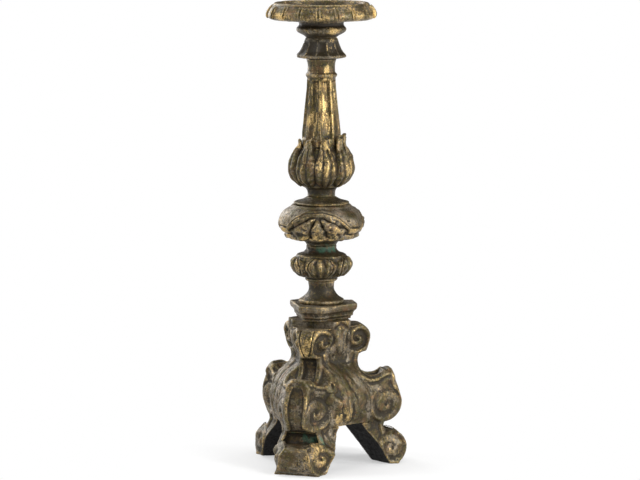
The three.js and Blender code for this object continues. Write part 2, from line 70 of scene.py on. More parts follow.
# %% [markdown]
# ## Small tools for shaping
# Carving in code means adding and taking away small heights. A smooth step is the gentle edge of a raised
# band, and a hill is a rounded bump. A drawn line with sharp corners becomes a flowing one by cutting its
# corners again and again, which needs no curve object.

# %% Steps, hills and flowing lines
def smooth_step(value, low, high):
    """0 below low, 1 above high, with a soft slope between them."""
    share = np.clip((value - low) / (high - low), 0, 1)
    return share * share * (3 - 2 * share)


def hill(value, centre, reach):
    """1 at the centre, falling softly to 0 at a distance of reach."""
    return smooth_step(reach - np.abs(value - centre), 0, reach)


def blend_max(first, second, soften):
    """The larger of two fields, with the corner between them rounded over about `soften` millimetres."""
    overlap = np.clip(soften - np.abs(first - second), 0, None)
    return np.maximum(first, second) + overlap * overlap / (4 * soften)


def flow(points, rounds=3):
    """Cuts the corners of an open line of points; each point may carry more numbers, such as a width."""
    line = np.array(points, float)
    for _ in range(rounds):
        near = 0.75 * line[:-1] + 0.25 * line[1:]
        far = 0.25 * line[:-1] + 0.75 * line[1:]
        middle = np.stack([near, far], 1).reshape(-1, line.shape[1])
        line = np.concatenate([line[:1], middle, line[-1:]])
    return line


print("a corner turned into", len(flow([(0, 0), (1, 0), (1, 1)])), "points")

# %% [markdown]
# ## Places round the axis
# The front leg points to -Y, and every turn is counted from it, to the right as one looks at the stand. The
# legs stand at thirds of a circle and the panels between them face outwards halfway. Three short helpers keep
# the sines and cosines in one spot.

# %% Turns and places
LEG_TURNS = [third * 2 * math.pi / 3 for third in range(3)]
PANEL_TURNS = [(third * 2 + 1) * math.pi / 3 for third in range(3)]


def outwards(x, y, turn):
    """How far places lie from the axis in the direction of a turn."""
    return x * math.sin(turn) - y * math.cos(turn)


def sidewards(x, y, turn):
    """How far places lie to the side of that direction."""
    return x * math.cos(turn) + y * math.sin(turn)


def round_axis(turn, distance, height):
    """Points from a turn, a distance from the axis and a height."""
    return np.stack(np.broadcast_arrays(distance * np.sin(turn), -distance * np.cos(turn), height), -1)


def put_up(name, data):
    """Puts a mesh, a lamp or a camera into the scene at the origin."""
    thing = bpy.data.objects.new(name, data)
    bpy.context.scene.collection.objects.link(thing)
    return thing


print("panels face", [round(math.degrees(turn)) for turn in PANEL_TURNS], "degrees")

# %% [markdown]
# ## Random but repeatable
# An old casting is never quite smooth. The lumps come from a block of random numbers that is read between
# its points, a simple form of what the noise texture does. The seed is fixed, so every run gives the same
# casting.

# %% Lumps for the casting
LATTICE = np.random.default_rng(7).random((32, 32, 32)).astype(np.float32) * 2 - 1


def cloud(points, size, shift=0.0):
    """Smooth random values from -1 to 1 at points in millimetres, in lumps about `size` across."""
    place = points / size + shift
    cell = np.floor(place).astype(int)
    part = place - cell
    part = part * part * (3 - 2 * part)
    total = np.zeros(points.shape[:-1])
    for corner in np.ndindex(2, 2, 2):
        weight = np.ones(points.shape[:-1])
        for axis, far in enumerate(corner):
            weight = weight * (part[..., axis] if far else 1 - part[..., axis])
        i, j, k = ((cell[..., axis] + far) % 32 for axis, far in enumerate(corner))
        total += weight * LATTICE[i, j, k]
    return total


print("lumps between", LATTICE.min().round(2), "and", LATTICE.max().round(2))

# %% [markdown]
# ## From numbers to a worn mesh
# Every carved section goes through the same two steps. First its surface is moved in and out a little, as
# sand-cast bronze is, with a few deeper pits. Then each point is marked with how hollow or how proud it is:
# the mesh is smoothed in a copy, and where the copy lies outside the surface there is a hollow. Dirt
# gathers in hollows and hands rub what stands proud, so the finishes read these marks. Pointiness in a
# shader could do this too, but it only sees the nearest points, and a mark can look as far as we like.

# %% Read a mesh, smooth it and mark it
def read(items, key, width):
    """Numbers of a mesh as a table, such as the places of its points."""
    values = np.zeros(len(items) * width, np.float32)
    items.foreach_get(key, values)
    return values.reshape(-1, width)


def pass_round(points, edges, rounds):
    """Smooths the points of a mesh: each moves to the middle of its neighbours, `rounds` times."""
    count = len(points)
    ends = np.concatenate([edges[:, 0], edges[:, 1]])
    others = np.concatenate([edges[:, 1], edges[:, 0]])
    neighbours = np.maximum(np.bincount(ends, minlength=count), 1)
    for _ in range(rounds):
        sums = [np.bincount(ends, weights=points[others, axis], minlength=count) for axis in range(3)]
        points = 0.3 * points + 0.7 * np.stack(sums, 1) / neighbours[:, None]
    return points


def hollowness(points, normals, edges, reach):
    """How far the smoothed surface lies outside each point, in millimetres: more than 0 in a hollow."""
    spacing = np.linalg.norm(points[edges[:, 0]] - points[edges[:, 1]], axis=1).mean()
    rounds = int(np.clip((reach / spacing) ** 2 * 2, 3, 60))
    return ((pass_round(points, edges, rounds) - points) * normals).sum(1)


def mark(mesh, name, values):
    """Stores one number for each point, which the finishes read by its name."""
    layer = mesh.attributes.new(name, "FLOAT", "POINT")
    layer.data.foreach_set("value", values.astype(np.float32))


def near_spots(points, spots):
    """1 at the middle of any spot (turn in degrees, distance, height, reach), 0 far from all of them."""
    nearest = np.zeros(len(points))
    for turn, distance, height, reach in spots:
        centre = round_axis(math.radians(turn), distance, height)
        nearest = np.maximum(nearest, np.exp(-((points - centre) ** 2).sum(1) / reach**2))
    return nearest


faded = near_spots(np.array([[0.0, -5, 0]]), [(0, 0, 0, 5)])
print("a spot fades to", faded.round(2)[0], "at its reach")

# %% [markdown]
# Verdigris grows where water stands, and gilding lasts where nobody scrubs; some gold spots are painted
# highlights instead. Both are placed at single spots: the turn in degrees from the front leg, the distance
# from the axis, the height, and how far the spot reaches, the last three in millimetres.

# %% Where green has grown, where gold is left and where gold highlights are painted
VERDIGRIS = [
    (3, 80, 46, 9), (-7, 81, 48, 7), (12, 80, 45, 9), (20, 82, 44, 7), (-4, 100, 8, 7),  # the front foot
    (14, 19, 287, 8), (30, 20, 289, 8), (50, 19, 288, 7), (70, 20, 287, 8),  # the neck between the knops
    (85, 60, 172, 7), (60, 38, 148, 7),  # the right upper volute and the panel below it
]
GILT_AND_PAINTED_HIGHLIGHTS = [
    (20, 70, 591, 8), (62, 70, 591, 9), (-30, 70, 592, 6), (95, 71, 592, 8),  # the rim of the pan
    # The spots on the collar, the bell and the column's neck, and those down the flutes and on their left
    # edge, are painted highlights in gold, not gilding.
    (50, 31, 573, 8), (48, 27, 553, 7), (44, 20, 522, 6),  # the collar, the bell and the column's neck
    (38, 20, 502, 12), (38, 22, 480, 15), (38, 24, 456, 15), (-34, 23, 456, 8),  # the flutes
    (80, 42, 392, 13), (26, 44, 400, 13),  # the leaves of the bulb
    (5, 42, 322, 8), (40, 50, 312, 8), (72, 56, 309, 12), (13, 48, 306, 12), (-42, 53, 308, 12),
    (-8, 46, 304, 9), (34, 46, 304, 9),  # these two and the line above: the foliage of the arched knop
    (3, 58, 168, 12), (-3, 62, 158, 9), (63, 40, 188, 9),  # the pad of the front leg, and the panel's top
    (95, 86, 118, 12), (125, 104, 100, 12), (120, 110, 88, 14), (118, 111, 76, 12),  # the right leg
    (46, 62, 72, 14), (18, 96, 34, 12), (22, 100, 22, 14), (240, 84, 24, 14),  # a panel's edge and the feet
]
print(len(VERDIGRIS), "green spots and", len(GILT_AND_PAINTED_HIGHLIGHTS), "gilt spots")

# %% [markdown]
# Now the wear itself. Three clouds of falling size make the skin of the casting and a fourth one its pits.
# Two looks at the hollows, one near and one far, are added into a single dip.

# %% Make a mesh look cast and worn
GRAIN = ((0.26, 8.3, 0.0), (0.15, 3.7, 5.2), (0.08, 1.6, 9.4))  # height, size and shift of each cloud
PIT_DEPTH, PIT_SIZE, PIT_SHIFT = 0.6, 2.9, 3.1
NEAR_LOOK, NEAR_FULL = 1.3, 0.24  # how far round a point to look, and the dip that counts as a full hollow
FAR_LOOK, FAR_FULL = 4.5, 1.3
MOST = 1.5  # the marks stop here


def wear(piece, lumps=1.0, keep=None):
    """Makes a smooth mesh look cast and worn, and marks its hollows. `keep` fades the marks by point."""
    mesh = piece.data
    points, normals = read(mesh.vertices, "co", 3) / MM, read(mesh.vertices, "normal", 3)
    edges = np.zeros(len(mesh.edges) * 2, np.int32)
    mesh.edges.foreach_get("vertices", edges)
    edges = edges.reshape(-1, 2)
    fade = np.ones(len(points)) if keep is None else keep(points)
    grain = sum(height * cloud(points, size, shift) for height, size, shift in GRAIN)
    pits = smooth_step(cloud(points, PIT_SIZE, PIT_SHIFT), 0.66, 0.86) * PIT_DEPTH
    worn = points + normals * (lumps * (grain - pits))[:, None]
    worn[:, 2] = np.maximum(worn[:, 2], 0)  # nothing reaches below the floor
    mesh.vertices.foreach_set("co", (worn * MM).ravel())
    fine = hollowness(worn, normals, edges, NEAR_LOOK)
    broad = hollowness(worn, normals, edges, FAR_LOOK)
    dip = fine / NEAR_FULL + broad / FAR_FULL
    mark(mesh, "hollow", np.clip(dip, 0, MOST) * fade)
    mark(mesh, "proud", np.clip(-dip, 0, MOST) * fade)
    mark(mesh, "green", near_spots(worn, VERDIGRIS))
    mark(mesh, "gilt_and_highlight", near_spots(worn, GILT_AND_PAINTED_HIGHLIGHTS))
    mesh.update()
    print(piece.name, len(mesh.polygons), "faces, hollow", round(float(np.clip(dip, 0, MOST).mean()), 2))


def new_piece(name, points, faces):
    """A mesh object at the origin, from points in millimetres."""
    mesh = bpy.data.meshes.new(name)
    mesh.from_pydata((points * MM).tolist(), [], faces.tolist())
    mesh.polygons.foreach_set("use_smooth", np.ones(len(mesh.polygons), bool))
    mesh.update()
    return put_up(name, mesh)


print("the casting skin stands out by", round(sum(height for height, _, _ in GRAIN), 2), "mm at most")

# %% [markdown]
# ## The scroll base as a field of numbers
# The three legs and the body between them flow into one another, with flat backs, spirals and leaves, which
# is hard to weld from separate shapes. Here they are carved as a field instead: a block of numbers that is
# below 0 inside the bronze and above 0 outside. Cutting is the larger of two fields and a relief is a small
# number taken away from one. The skin of the block is then found with surface nets: one point in every cell
# that the surface crosses, and a face across every crossed edge.

# %% The skin of a field
def largest_part(points, faces):
    """Drops the loose crumbs that a field leaves where two cuts nearly meet."""
    label = np.arange(len(points))
    while True:
        lowest = label[faces].min(1)
        lower = label.copy()
        for corner in faces.T:
            np.minimum.at(lower, corner, lowest)
        lower = lower[lower]
        if (lower == label).all():
            break
        label = lower
    kept = label == np.bincount(label).argmax()
    number = np.cumsum(kept) - 1
    return points[kept], number[faces[kept[faces[:, 0]]]]


def skin(field, origin, step):
    """Points in millimetres and four-sided faces of the surface where `field` is 0."""
    inside = field < 0
    shape = np.array(field.shape)
    count = np.zeros(shape - 1, np.int8)
    for corner in np.ndindex(2, 2, 2):
        count += inside[tuple(slice(c, n - 1 + c) for c, n in zip(corner, shape))]
    cells = np.argwhere((count > 0) & (count < 8))
    number = np.full(shape - 1, -1)
    number[tuple(cells.T)] = np.arange(len(cells))
    sums, hits = np.zeros((len(cells), 3)), np.zeros(len(cells))
    for axis in range(3):
        along = np.eye(3, dtype=int)[axis]
        for first in np.ndindex(2, 2):
            start = np.insert(first, axis, 0)
            low, high = (field[tuple((cells + start + along * far).T)] for far in (0, 1))
            crossed = (low < 0) != (high < 0)
            share = np.where(crossed, low / np.where(crossed, low - high, 1), 0)
            sums += np.where(crossed[:, None], start + along * share[:, None], 0)
            hits += crossed
    points = origin + step * (cells + sums / hits[:, None])
    faces = []
    for axis in range(3):
        along = np.eye(3, dtype=int)[axis]
        side, up = np.eye(3, dtype=int)[(axis + 1) % 3], np.eye(3, dtype=int)[(axis + 2) % 3]
        low = inside[tuple(slice(1 - a, n - 1) for a, n in zip(along, shape))]
        high = inside[tuple(slice(1, n - 1 + a) for a, n in zip(along, shape))]
        for enters in (True, False):
            at = np.argwhere((low != high) & (low == enters)) + 1 - along
            ring = [at - side - up, at - up, at, at - side]
            quad = np.stack([number[tuple(corner.T)] for corner in ring], 1)
            faces.append(quad if enters else quad[:, ::-1])
    return largest_part(points, np.concatenate(faces))


ball = np.linalg.norm(np.mgrid[-5:6, -5:6, -5:6], axis=0) - 3
print("the skin of a small ball has", len(skin(ball, 0, 1)[0]), "points")

# %% [markdown]
# ## Outlines of the base
# Seen from its side a leg is a chain of scrolls: a foot volute, a big volute, a C-shaped bite with a lip on
# either end, and a small volute under the abacus. Between the legs the body has three hollow panels, whose
# distance from the axis changes with height. The numbers are the same as in the CAD model, because each
# carved piece has to stand where its CAD node stands.

# %% Leg and panel outlines
SIN60, COS60 = math.sin(math.pi / 3), math.cos(math.pi / 3)
UPPER_VOLUTE, BIG_VOLUTE, FOOT_VOLUTE = (46.3, 168, 18), (82.5, 79, 24), (89.6, 21.5, 22)
SCROLL_TIP, BITE = (90, 121, 4.8), (66.5, 137, 20)
SEAT_UPPER, SEAT_LOWER = 33, 58
PANEL = np.array([(0, 72.5), (12, 73.5), (28, 72.5), (41, 65), (52, 58.5), (62, 61.5), (76, 66), (90, 66.5),
                  (104, 62.5), (116, 56.5), (126, 48), (136, 34.5), (148, 34.5), (160, 40), (174, 42.5),
                  (184, 41.5), (200, 41.5)])


def arc(circle, start, end, steps=14):
    """Points on a circle (distance from the axis, height, radius), between two turns in radians."""
    rho, z, radius = circle
    turn = np.linspace(start, end, steps)
    return np.stack([rho + radius * np.cos(turn), z + radius * np.sin(turn)], 1)


leg_loop = np.concatenate([
    [(69, 0), (99, 0)], arc(FOOT_VOLUTE, -1.05, 1.9), [(79.5, 51)], arc(BIG_VOLUTE, -1.62, 0.35),
    arc(SCROLL_TIP, 0.3, 2.7, 6), arc(BITE, -0.72, -3.59), [(59.3, 147.6), (60.8, 150.6)],
    arc(UPPER_VOLUTE, -0.35, 1.75), [(SEAT_UPPER, 185), (SEAT_UPPER, 128), (SEAT_LOWER, 104),
                                     (SEAT_LOWER, 57.7), (26, 57.7)],
])
outer_side = leg_loop[2:-5]
# The panel's relief follows the same outer side, and its other sides are moved out of the way.
panel_loop = np.concatenate([
    [(69, -60), (99, -60)], outer_side, [(28, 196), (28, 300), (-90, 300), (-90, -60)]])
arch_loop = np.array([(-57.3, -5), (63, -5), (24.5, 53), (20.5, 58), (14, 58.3), (-12.7, 58.3), (-17.7, 58),
                      (-20.8, 53)])


def distance_to(loop, x, y):
    """Distance from each place to a closed outline, below 0 inside it."""
    nearest, inside = np.full(np.broadcast(x, y).shape, 1e9), np.zeros(np.broadcast(x, y).shape, bool)
    for (ax, ay), (bx, by) in zip(loop, np.roll(loop, -1, axis=0)):
        dx, dy = bx - ax, by - ay
        share = np.clip(((x - ax) * dx + (y - ay) * dy) / max(dx * dx + dy * dy, 1e-9), 0, 1)
        nearest = np.minimum(nearest, (x - ax - share * dx) ** 2 + (y - ay - share * dy) ** 2)
        if ay != by:
            inside ^= ((ay > y) != (by > y)) & (x < ax + (y - ay) * dx / dy)
    return np.where(inside, -1, 1) * np.sqrt(nearest)


def panel_distance(z):
    """How far the panel faces stand from the axis, with the corners of the list smoothed away."""
    return sum(np.interp(z + shift, PANEL[:, 0], PANEL[:, 1]) for shift in (-4, -2, 0, 2, 4)) / 5


print("leg outline:", len(leg_loop), "points; panel at 79 mm:", round(float(panel_distance(79)), 1))

# %% [markdown]
# ## The carving on the panels
# Each side of the base is one relief, drawn flat as if the panel were unrolled: `across` runs sideways from
# the panel's middle and `up` is the height. A raised band follows the edge of the leg and winds into the
# volutes, and the field inside it lies lower. Leaves are strokes with a width at every point and a rounded
# back. The drawing is a table of heights that the field looks up, so the legs and the body share it and
# the leaves run over the joint without a break.

# %% The table and its border
TABLE_STEP = 0.5
FIELD_DEPTH = -2.6  # how deep the ground lies inside the raised border
across, up = np.meshgrid(np.arange(-104, 104.1, TABLE_STEP), np.arange(-2, 197.1, TABLE_STEP), indexing="ij")
rho_here = panel_distance(up) * COS60 + np.abs(across) * SIN60
edge_in = -distance_to(panel_loop, rho_here, up)  # how far inside the leg's edge each place lies
band = 1 - smooth_step(edge_in, 5.0, 8.0)
groove = hill(edge_in, 9.0, 2.6)
relief = FIELD_DEPTH * (1 - band) - 0.5 * groove + 0.5 * hill(edge_in, 3.2, 3.5)
print("table of", relief.shape, "heights")

# %% [markdown]
# A volute is a band that winds inwards. Round its middle the winding number grows with the turn and falls
# with the distance, so its whole part counts the coils and the rest says where across a coil a place lies:
# on the band or in the groove beside it.

# %% Wind the volutes
def spiral_band(circle, pitch, band, start_turn, wound):
    """1 on a band that winds into a volute, 0 in the groove beside it, and the distance from its middle."""
    rho, z, radius = circle
    away = np.hypot(rho_here - rho, up - z)
    turn = np.arctan2(up - z, rho_here - rho)
    coil = (radius - away) / pitch + wound * (turn - start_turn) / (2 * math.pi)
    share = coil - np.floor(coil)
    width = band / pitch
    return smooth_step(share, 0, 0.24) * (1 - smooth_step(share, width - 0.2, width + 0.16)), away


VOLUTES = (  # circle, pitch, width of the band, turn where it starts, way it winds, depth of the groove
    (BIG_VOLUTE, 19, 13.6, 0.3, -1, 2.5),
    (FOOT_VOLUTE, 18, 12.2, 1.9, 1, 2.6),
    (UPPER_VOLUTE, 15, 7.4, 1.7, -1, 5.2),
)
for circle, pitch, band_width, start_turn, wound, deep in VOLUTES:
    coil, away = spiral_band(circle, pitch, band_width, start_turn, wound)
    inner = 1 - smooth_step(away, circle[2] - 1.5, circle[2] + 0.5)
    eye = 1 - smooth_step(away, 1.2, 2.6)
    wound_relief = -deep * (1 - coil) + 0.9 * (1 - smooth_step(away, 3, 11)) - 1.6 * eye
    relief = relief * (1 - inner) + wound_relief * inner
print(len(VOLUTES), "volutes wound, the deepest", VOLUTES[-1][-1], "mm")

# %% [markdown]
# The leaves of the panels are strokes. Each one has a path, a width at every point of it, a height and a
# vein. The edge swells and shrinks along the way, which gives lobes, and the paper under the drawing is
# pulled about a little, so that no line is quite straight.

# %% Draw the leaves
LEAF_WIDTH, LOBE_SHARE, LOBE_PITCH = 1.35, 0.2, 11.0
LEAF_HEIGHT = 0.8  # the strokes below, worn down to this share of their height
on_sheet = np.stack([across, up, 0 * up], -1)
wavy_across = across + 2.2 * cloud(on_sheet, 13, 2.3)
wavy_up = up + 2.2 * cloud(on_sheet, 13, 6.1)


def stroke(relief, path, height, vein=0.0, rounds=3):
    """Raises a leaf along `path`, a list of (across, up, half width), and may cut a vein down its back."""
    line = flow(path, rounds)
    run = np.r_[0, np.cumsum(np.hypot(*np.diff(line[:, :2], axis=0).T))]
    line[:, 2] *= LEAF_WIDTH * (1 + LOBE_SHARE * np.sin(run * 2 * math.pi / LOBE_PITCH))
    best, centre = np.zeros_like(relief), np.full_like(relief, 99.0)
    for (ax, ay, aw), (bx, by, bw) in zip(line[:-1], line[1:]):
        dx, dy = bx - ax, by - ay
        share = np.clip(((wavy_across - ax) * dx + (wavy_up - ay) * dy) / max(dx * dx + dy * dy, 1e-9), 0, 1)
        away = np.hypot(wavy_across - ax - share * dx, wavy_up - ay - share * dy)
        width = aw + (bw - aw) * share
        best = np.maximum(best, np.sqrt(np.clip(1 - (away / width) ** 2, 0, 1)))
        centre = np.minimum(centre, away)
    raised = height * best - vein * (1 - smooth_step(centre, 0.4, 1.4)) * (best > 0)
    return blend_max(relief, np.where(best > 0, FIELD_DEPTH + raised, -9), 0.5)


LEAVES = [  # path of (across, up, half width), height, vein
    ([(-6, 66, 3), (-12, 84, 6), (-9, 104, 6.5), (-13, 126, 6), (-19, 142, 5), (-24, 150, 2)], 4.4, 1.4),
    ([(6, 68, 3), (15, 86, 5), (18, 108, 5), (18, 130, 4.5), (21, 142, 4), (25, 150, 1.6)], 2.4, 0.6),
    ([(-16, 118, 3), (-24, 124, 4), (-34, 124, 4), (-40, 115, 4), (-36, 106, 3.6), (-28, 106, 3),
      (-26, 113, 2.4)], 3.8, 0.8),
    ([(-10, 136, 1.5), (-11, 128, 5.5), (-11, 118, 6.5), (-13, 108, 1.5)], 5.0, 1.2),
    ([(-36, 98, 2), (-32, 93, 6.5), (-26, 89, 5), (-22, 84, 1.5)], 4.6, 0.0),
    ([(-8, 112, 2), (-2, 100, 4), (4, 88, 3.6), (7, 76, 1.2)], 3.6, 0.9),
    ([(0, 124, 2), (6, 110, 4), (13, 96, 3.6), (17, 82, 1.2)], 2.4, 0.5),
    ([(9, 132, 2), (15, 118, 3.6), (24, 104, 3.2), (30, 92, 1.2)], 2.0, 0.4),
    ([(-20, 138, 2), (-28, 134, 3.4), (-37, 136, 3), (-42, 142, 1.2)], 3.4, 0.7),
    ([(4, 150, 1.5), (0, 162, 4.6), (-3, 174, 4.2), (-2, 184, 1.4)], 2.2, 0.5),
    ([(-20, 72, 1.5), (-24, 66, 5), (-30, 58, 5), (-36, 48, 1.5)], 2.4, 0.0),
    ([(16, 74, 1.5), (22, 68, 4.5), (28, 60, 4.5), (34, 50, 1.5)], 2.2, 0.0),
]
for path, height, vein in LEAVES:
    relief = stroke(relief, path, LEAF_HEIGHT * height, LEAF_HEIGHT * vein)
print(len(LEAVES), "leaves drawn")

# %% [markdown]
# A casting keeps small holes where gas was caught. After them come the large moves of the drawing, and a
# last rubbing down, which softens every edge as long handling does.

# %% Holes, large moves and soft edges
HOLE_DEPTH = 4.5
# Each hole has a place across and up, and a reach.
HOLES = ((-19, 175, 2.2), (-21, 166, 1.8), (-8, 147, 1.9), (-30, 114, 2.6), (-44, 172, 1.6))
for hole_across, hole_up, reach in HOLES:
    relief -= HOLE_DEPTH * (1 - smooth_step(np.hypot(across - hole_across, up - hole_up), 0.5, reach))
# One side of each leg stands almost square to its face: the panel falls back beside the big volute and rises
# again towards the body. The lips of the scrolls and the feet stand out a little wider than the panel.
FALL_BACK, LIP_OUT, FOOT_OUT, SOFT_ROUNDS = 11, 4.5, 3.5, 6
square = smooth_step(edge_in, -6, 30) * smooth_step(rho_here, 50, 76) * hill(np.clip(up, 74, 96) - up, 0, 20)
relief -= FALL_BACK * square * (across < 0)
lip = 1 - smooth_step(np.hypot(rho_here - SCROLL_TIP[0], up - SCROLL_TIP[1]), 6, 17)
foot_corner = (1 - smooth_step(edge_in, 4, 16)) * (1 - smooth_step(up, 26, 36))
relief += LIP_OUT * lip + FOOT_OUT * foot_corner
for _ in range(SOFT_ROUNDS):
    relief[1:-1] = 0.5 * relief[1:-1] + 0.25 * (relief[:-2] + relief[2:])
    relief[:, 1:-1] = 0.5 * relief[:, 1:-1] + 0.25 * (relief[:, :-2] + relief[:, 2:])
arch_field = distance_to(arch_loop, across, up)
print("relief from", relief.min().round(1), "to", relief.max().round(1), "mm")

# %% [markdown]
# ## The legs and the body
# A leg is what is left of its side outline between its two panels once the arches are cut away. Its outer
# face has raised rims with a sunk strip between them, deeper in some places. All the edges are rounded
# where two fields meet. The three legs are one carving turned by a third of a circle, but the casting lumps
# are added after the turn, so no two are alike.

# %% Read the drawing at any place
def look_up(table, sideways, height_index):
    """Reads a table of the panel at any place across it, for every height of the block."""
    place = (sideways - across[0, 0]) / TABLE_STEP
    cell = np.clip(place.astype(int), 0, len(across) - 2)
    share = (place - cell)[..., None].astype(np.float32)
    return table[cell][..., height_index] * (1 - share) + table[cell + 1][..., height_index] * share


def panel_fields(x, y, heights, turn):
    """The distance outside the panel that faces `turn`, plain and with its carving, and the arch's field."""
    sideways = sidewards(x, y, turn)
    index = np.clip(np.round((heights - up[0, 0]) / TABLE_STEP).astype(int), 0, up.shape[1] - 1)
    plain = outwards(x, y, turn)[..., None] - panel_distance(heights)
    relief_here = look_up(relief.astype(np.float32), sideways, index)
    return plain, plain - relief_here, look_up(arch_field.astype(np.float32), sideways, index)


def seat_distance(height):
    """How far the flat seat of a leg stands from the axis."""
    return np.interp(height, [104, 128], [SEAT_LOWER, SEAT_UPPER])


print("the seat stands", seat_distance(80), "mm out at its foot and", seat_distance(150), "mm at its top")

# %% [markdown]
# The outer face changes from foot to top: a shallow strip on the foot, a deep groove over it, the sunk front
# of the big volute, a narrow recess behind the lip, and a raised pad with a groove round it. Each is a list
# of heights and depths, read like the profile of a moulding.

# %% The outer face of a leg
def heights_and(*pairs):
    """Splits (height, size) pairs into the two lists that an interpolation needs."""
    return np.array(pairs, float).T


STRIP_DEPTH = heights_and(
    (0, 0), (6, 0), (8, 0.5), (29, 0.5), (33, 0), (37, 0.2), (39, 4.5), (50, 4.5), (53, 0.2), (56, 2.4),
    (112, 2.2), (117, 0), (149, 0.6), (152, -0.6), (181, -0.6), (185, 0.2), (200, 0))
RIM_WIDTH = heights_and((33, 2.4), (53, 2.4), (60, 4.6), (95, 4.6), (112, 3.4))
RECESS_DEPTH = heights_and((108, 0), (111, 4.0), (144, 4.0), (149, 0))
FLANK_DEPTH = heights_and((98, 0), (104, 2.6), (144, 2.6), (150, 0))
PAD_FROM, PAD_TO, PAD_HALF, PAD_GROOVE = 151, 183, 12.5, 1.8
# The holes of the strip have a place to the side and a height, and one radius for all.
STRIP_HOLES, STRIP_HOLE_RADIUS = ((-12.2, 183.4), (2.6, 184.2), (-11.5, 126), (-9.0, 119)), 2.2


def sunk_face(x, y, heights, from_side, from_seat):
    """How deep the outer face lies below the plain outline of the leg."""
    from_middle = np.abs(x)[..., None]
    border = np.interp(heights, *RIM_WIDTH)
    sunk = np.interp(heights, *STRIP_DEPTH) * smooth_step(from_side, border, border + 2.0)
    # Behind the lip the strip runs on as a narrow recess, with the flanks beside it cut back.
    behind_lip = 1 - smooth_step(-y[..., None], 76, 84)
    recess = np.interp(heights, *RECESS_DEPTH) * (1 - smooth_step(from_middle, 8, 10))
    beside = np.interp(heights, *FLANK_DEPTH) * smooth_step(from_middle, 13.5, 17.5)
    sunk = np.maximum(sunk, np.maximum(recess, beside) * behind_lip) * smooth_step(from_seat, 5.0, 9.0)
    on_pad = (heights > PAD_FROM) & (heights < PAD_TO)
    return sunk + PAD_GROOVE * hill(np.minimum(from_side, PAD_HALF - from_middle), 3.4, 1.7) * on_pad


print("deepest part of the strip:", STRIP_DEPTH[1].max(), "mm")

# %% [markdown]
# Now a leg is carved from a block just large enough for it: its outline less the sunk face, kept between its
# two panels, less the arches, less a few casting holes. The edges are rounded as two fields meet, but the
# joint with the body stays sharp.

# %% Carve the legs
LEG_STEP = 0.95


def leg_block():
    """The front leg; the other two are turned copies."""
    t, rho = np.arange(-52, 52.1, LEG_STEP), np.arange(22, 114, LEG_STEP)
    heights = np.arange(-1.7, 191, LEG_STEP)
    x, y = np.meshgrid(t, -rho[::-1], indexing="ij")
    outline = distance_to(leg_loop, *np.meshgrid(rho[::-1], heights, indexing="ij"))[None]
    sides = [panel_fields(x, y, heights, side * math.pi / 3) for side in (1, -1)]
    from_side = -np.maximum(sides[0][0], sides[1][0]) / SIN60
    from_seat = -y[..., None] - seat_distance(heights)
    field = outline + sunk_face(x, y, heights, from_side, from_seat)
    rounding = 0.3 + 1.9 * smooth_step(from_seat, 1.5, 6.0)
    for plain, carved, arch in sides:
        field = blend_max(field, carved, rounding)
    for plain, carved, arch in sides:
        field = blend_max(field, -arch, 0.8)
    for aside, height in STRIP_HOLES:
        out = np.interp(height, [119, 126, 183], [67, 52, 57.5])
        ball = (x - aside) ** 2 + (y + out) ** 2
        field = np.maximum(field, STRIP_HOLE_RADIUS - np.sqrt(ball[..., None] + (heights - height) ** 2))
    return skin(field, np.array([t[0], -rho[-1], heights[0]]), LEG_STEP)


leg_points, leg_faces = leg_block()
print("one leg:", len(leg_points), "points,", len(leg_faces), "faces")

# %% [markdown]
# The body between the legs has the same three panels. Under it the casting is open and hollow, with rough
# black walls that never saw a file, and those walls show through the arches.

# %% Carve the body
CORE_FLOOR, CORE_TOP, CROWN_WALL, CORE_WALL, SEAT_PLAY = 58.0, 193.6, 10, 8.5, 0.6
BODY_STEP = 1.2


def core_block():
    """The hollow body: inside its three panels and three seats, and outside its cavity."""
    side = np.arange(-75, 75.1, BODY_STEP)
    heights = np.arange(CORE_FLOOR - 2.6, CORE_TOP + 2, BODY_STEP)
    x, y = np.meshgrid(side, side, indexing="ij")
    walls = cavity = corners = np.full(x.shape + heights.shape, -99.0)
    for leg_turn, panel_turn in zip(LEG_TURNS, PANEL_TURNS):
        plain, carved, _ = panel_fields(x, y, heights, panel_turn)
        out = outwards(x, y, leg_turn)[..., None] - seat_distance(heights)
        walls = blend_max(walls, carved, 1.0)
        corners = np.maximum(corners, out - SEAT_PLAY)
        cavity = blend_max(cavity, np.maximum(plain, out) + CORE_WALL, 6.0)
    cavity = np.maximum(cavity, heights - (CORE_TOP - CROWN_WALL))
    field = np.maximum(np.maximum(walls, corners), heights - CORE_TOP)
    field = np.maximum(np.maximum(field, CORE_FLOOR - heights), -cavity)
    return skin(field, np.array([side[0], side[0], heights[0]]), BODY_STEP)


body_points, body_faces = core_block()
print("the body:", len(body_points), "points,", len(body_faces), "faces")

# %% [markdown]
# Two places need marks of their own. Where a leg meets the body the joint is hidden, so it may leave no worn
# edge. And the walls of the arches and of the hollow were never cleaned, so they stay black.

# %% Marks at the joints and on raw walls
def by_the_seats(points):
    """0 where a leg meets the body and 1 away from it."""
    x, y, z = points.T
    free = np.ones(len(points))
    for turn in LEG_TURNS:
        out = outwards(x, y, turn) - seat_distance(z)
        across_leg = np.abs(sidewards(x, y, turn))
        free = np.minimum(free, np.where(across_leg < 60, smooth_step(np.abs(out), 1.2, 3.6), 1))
    return free


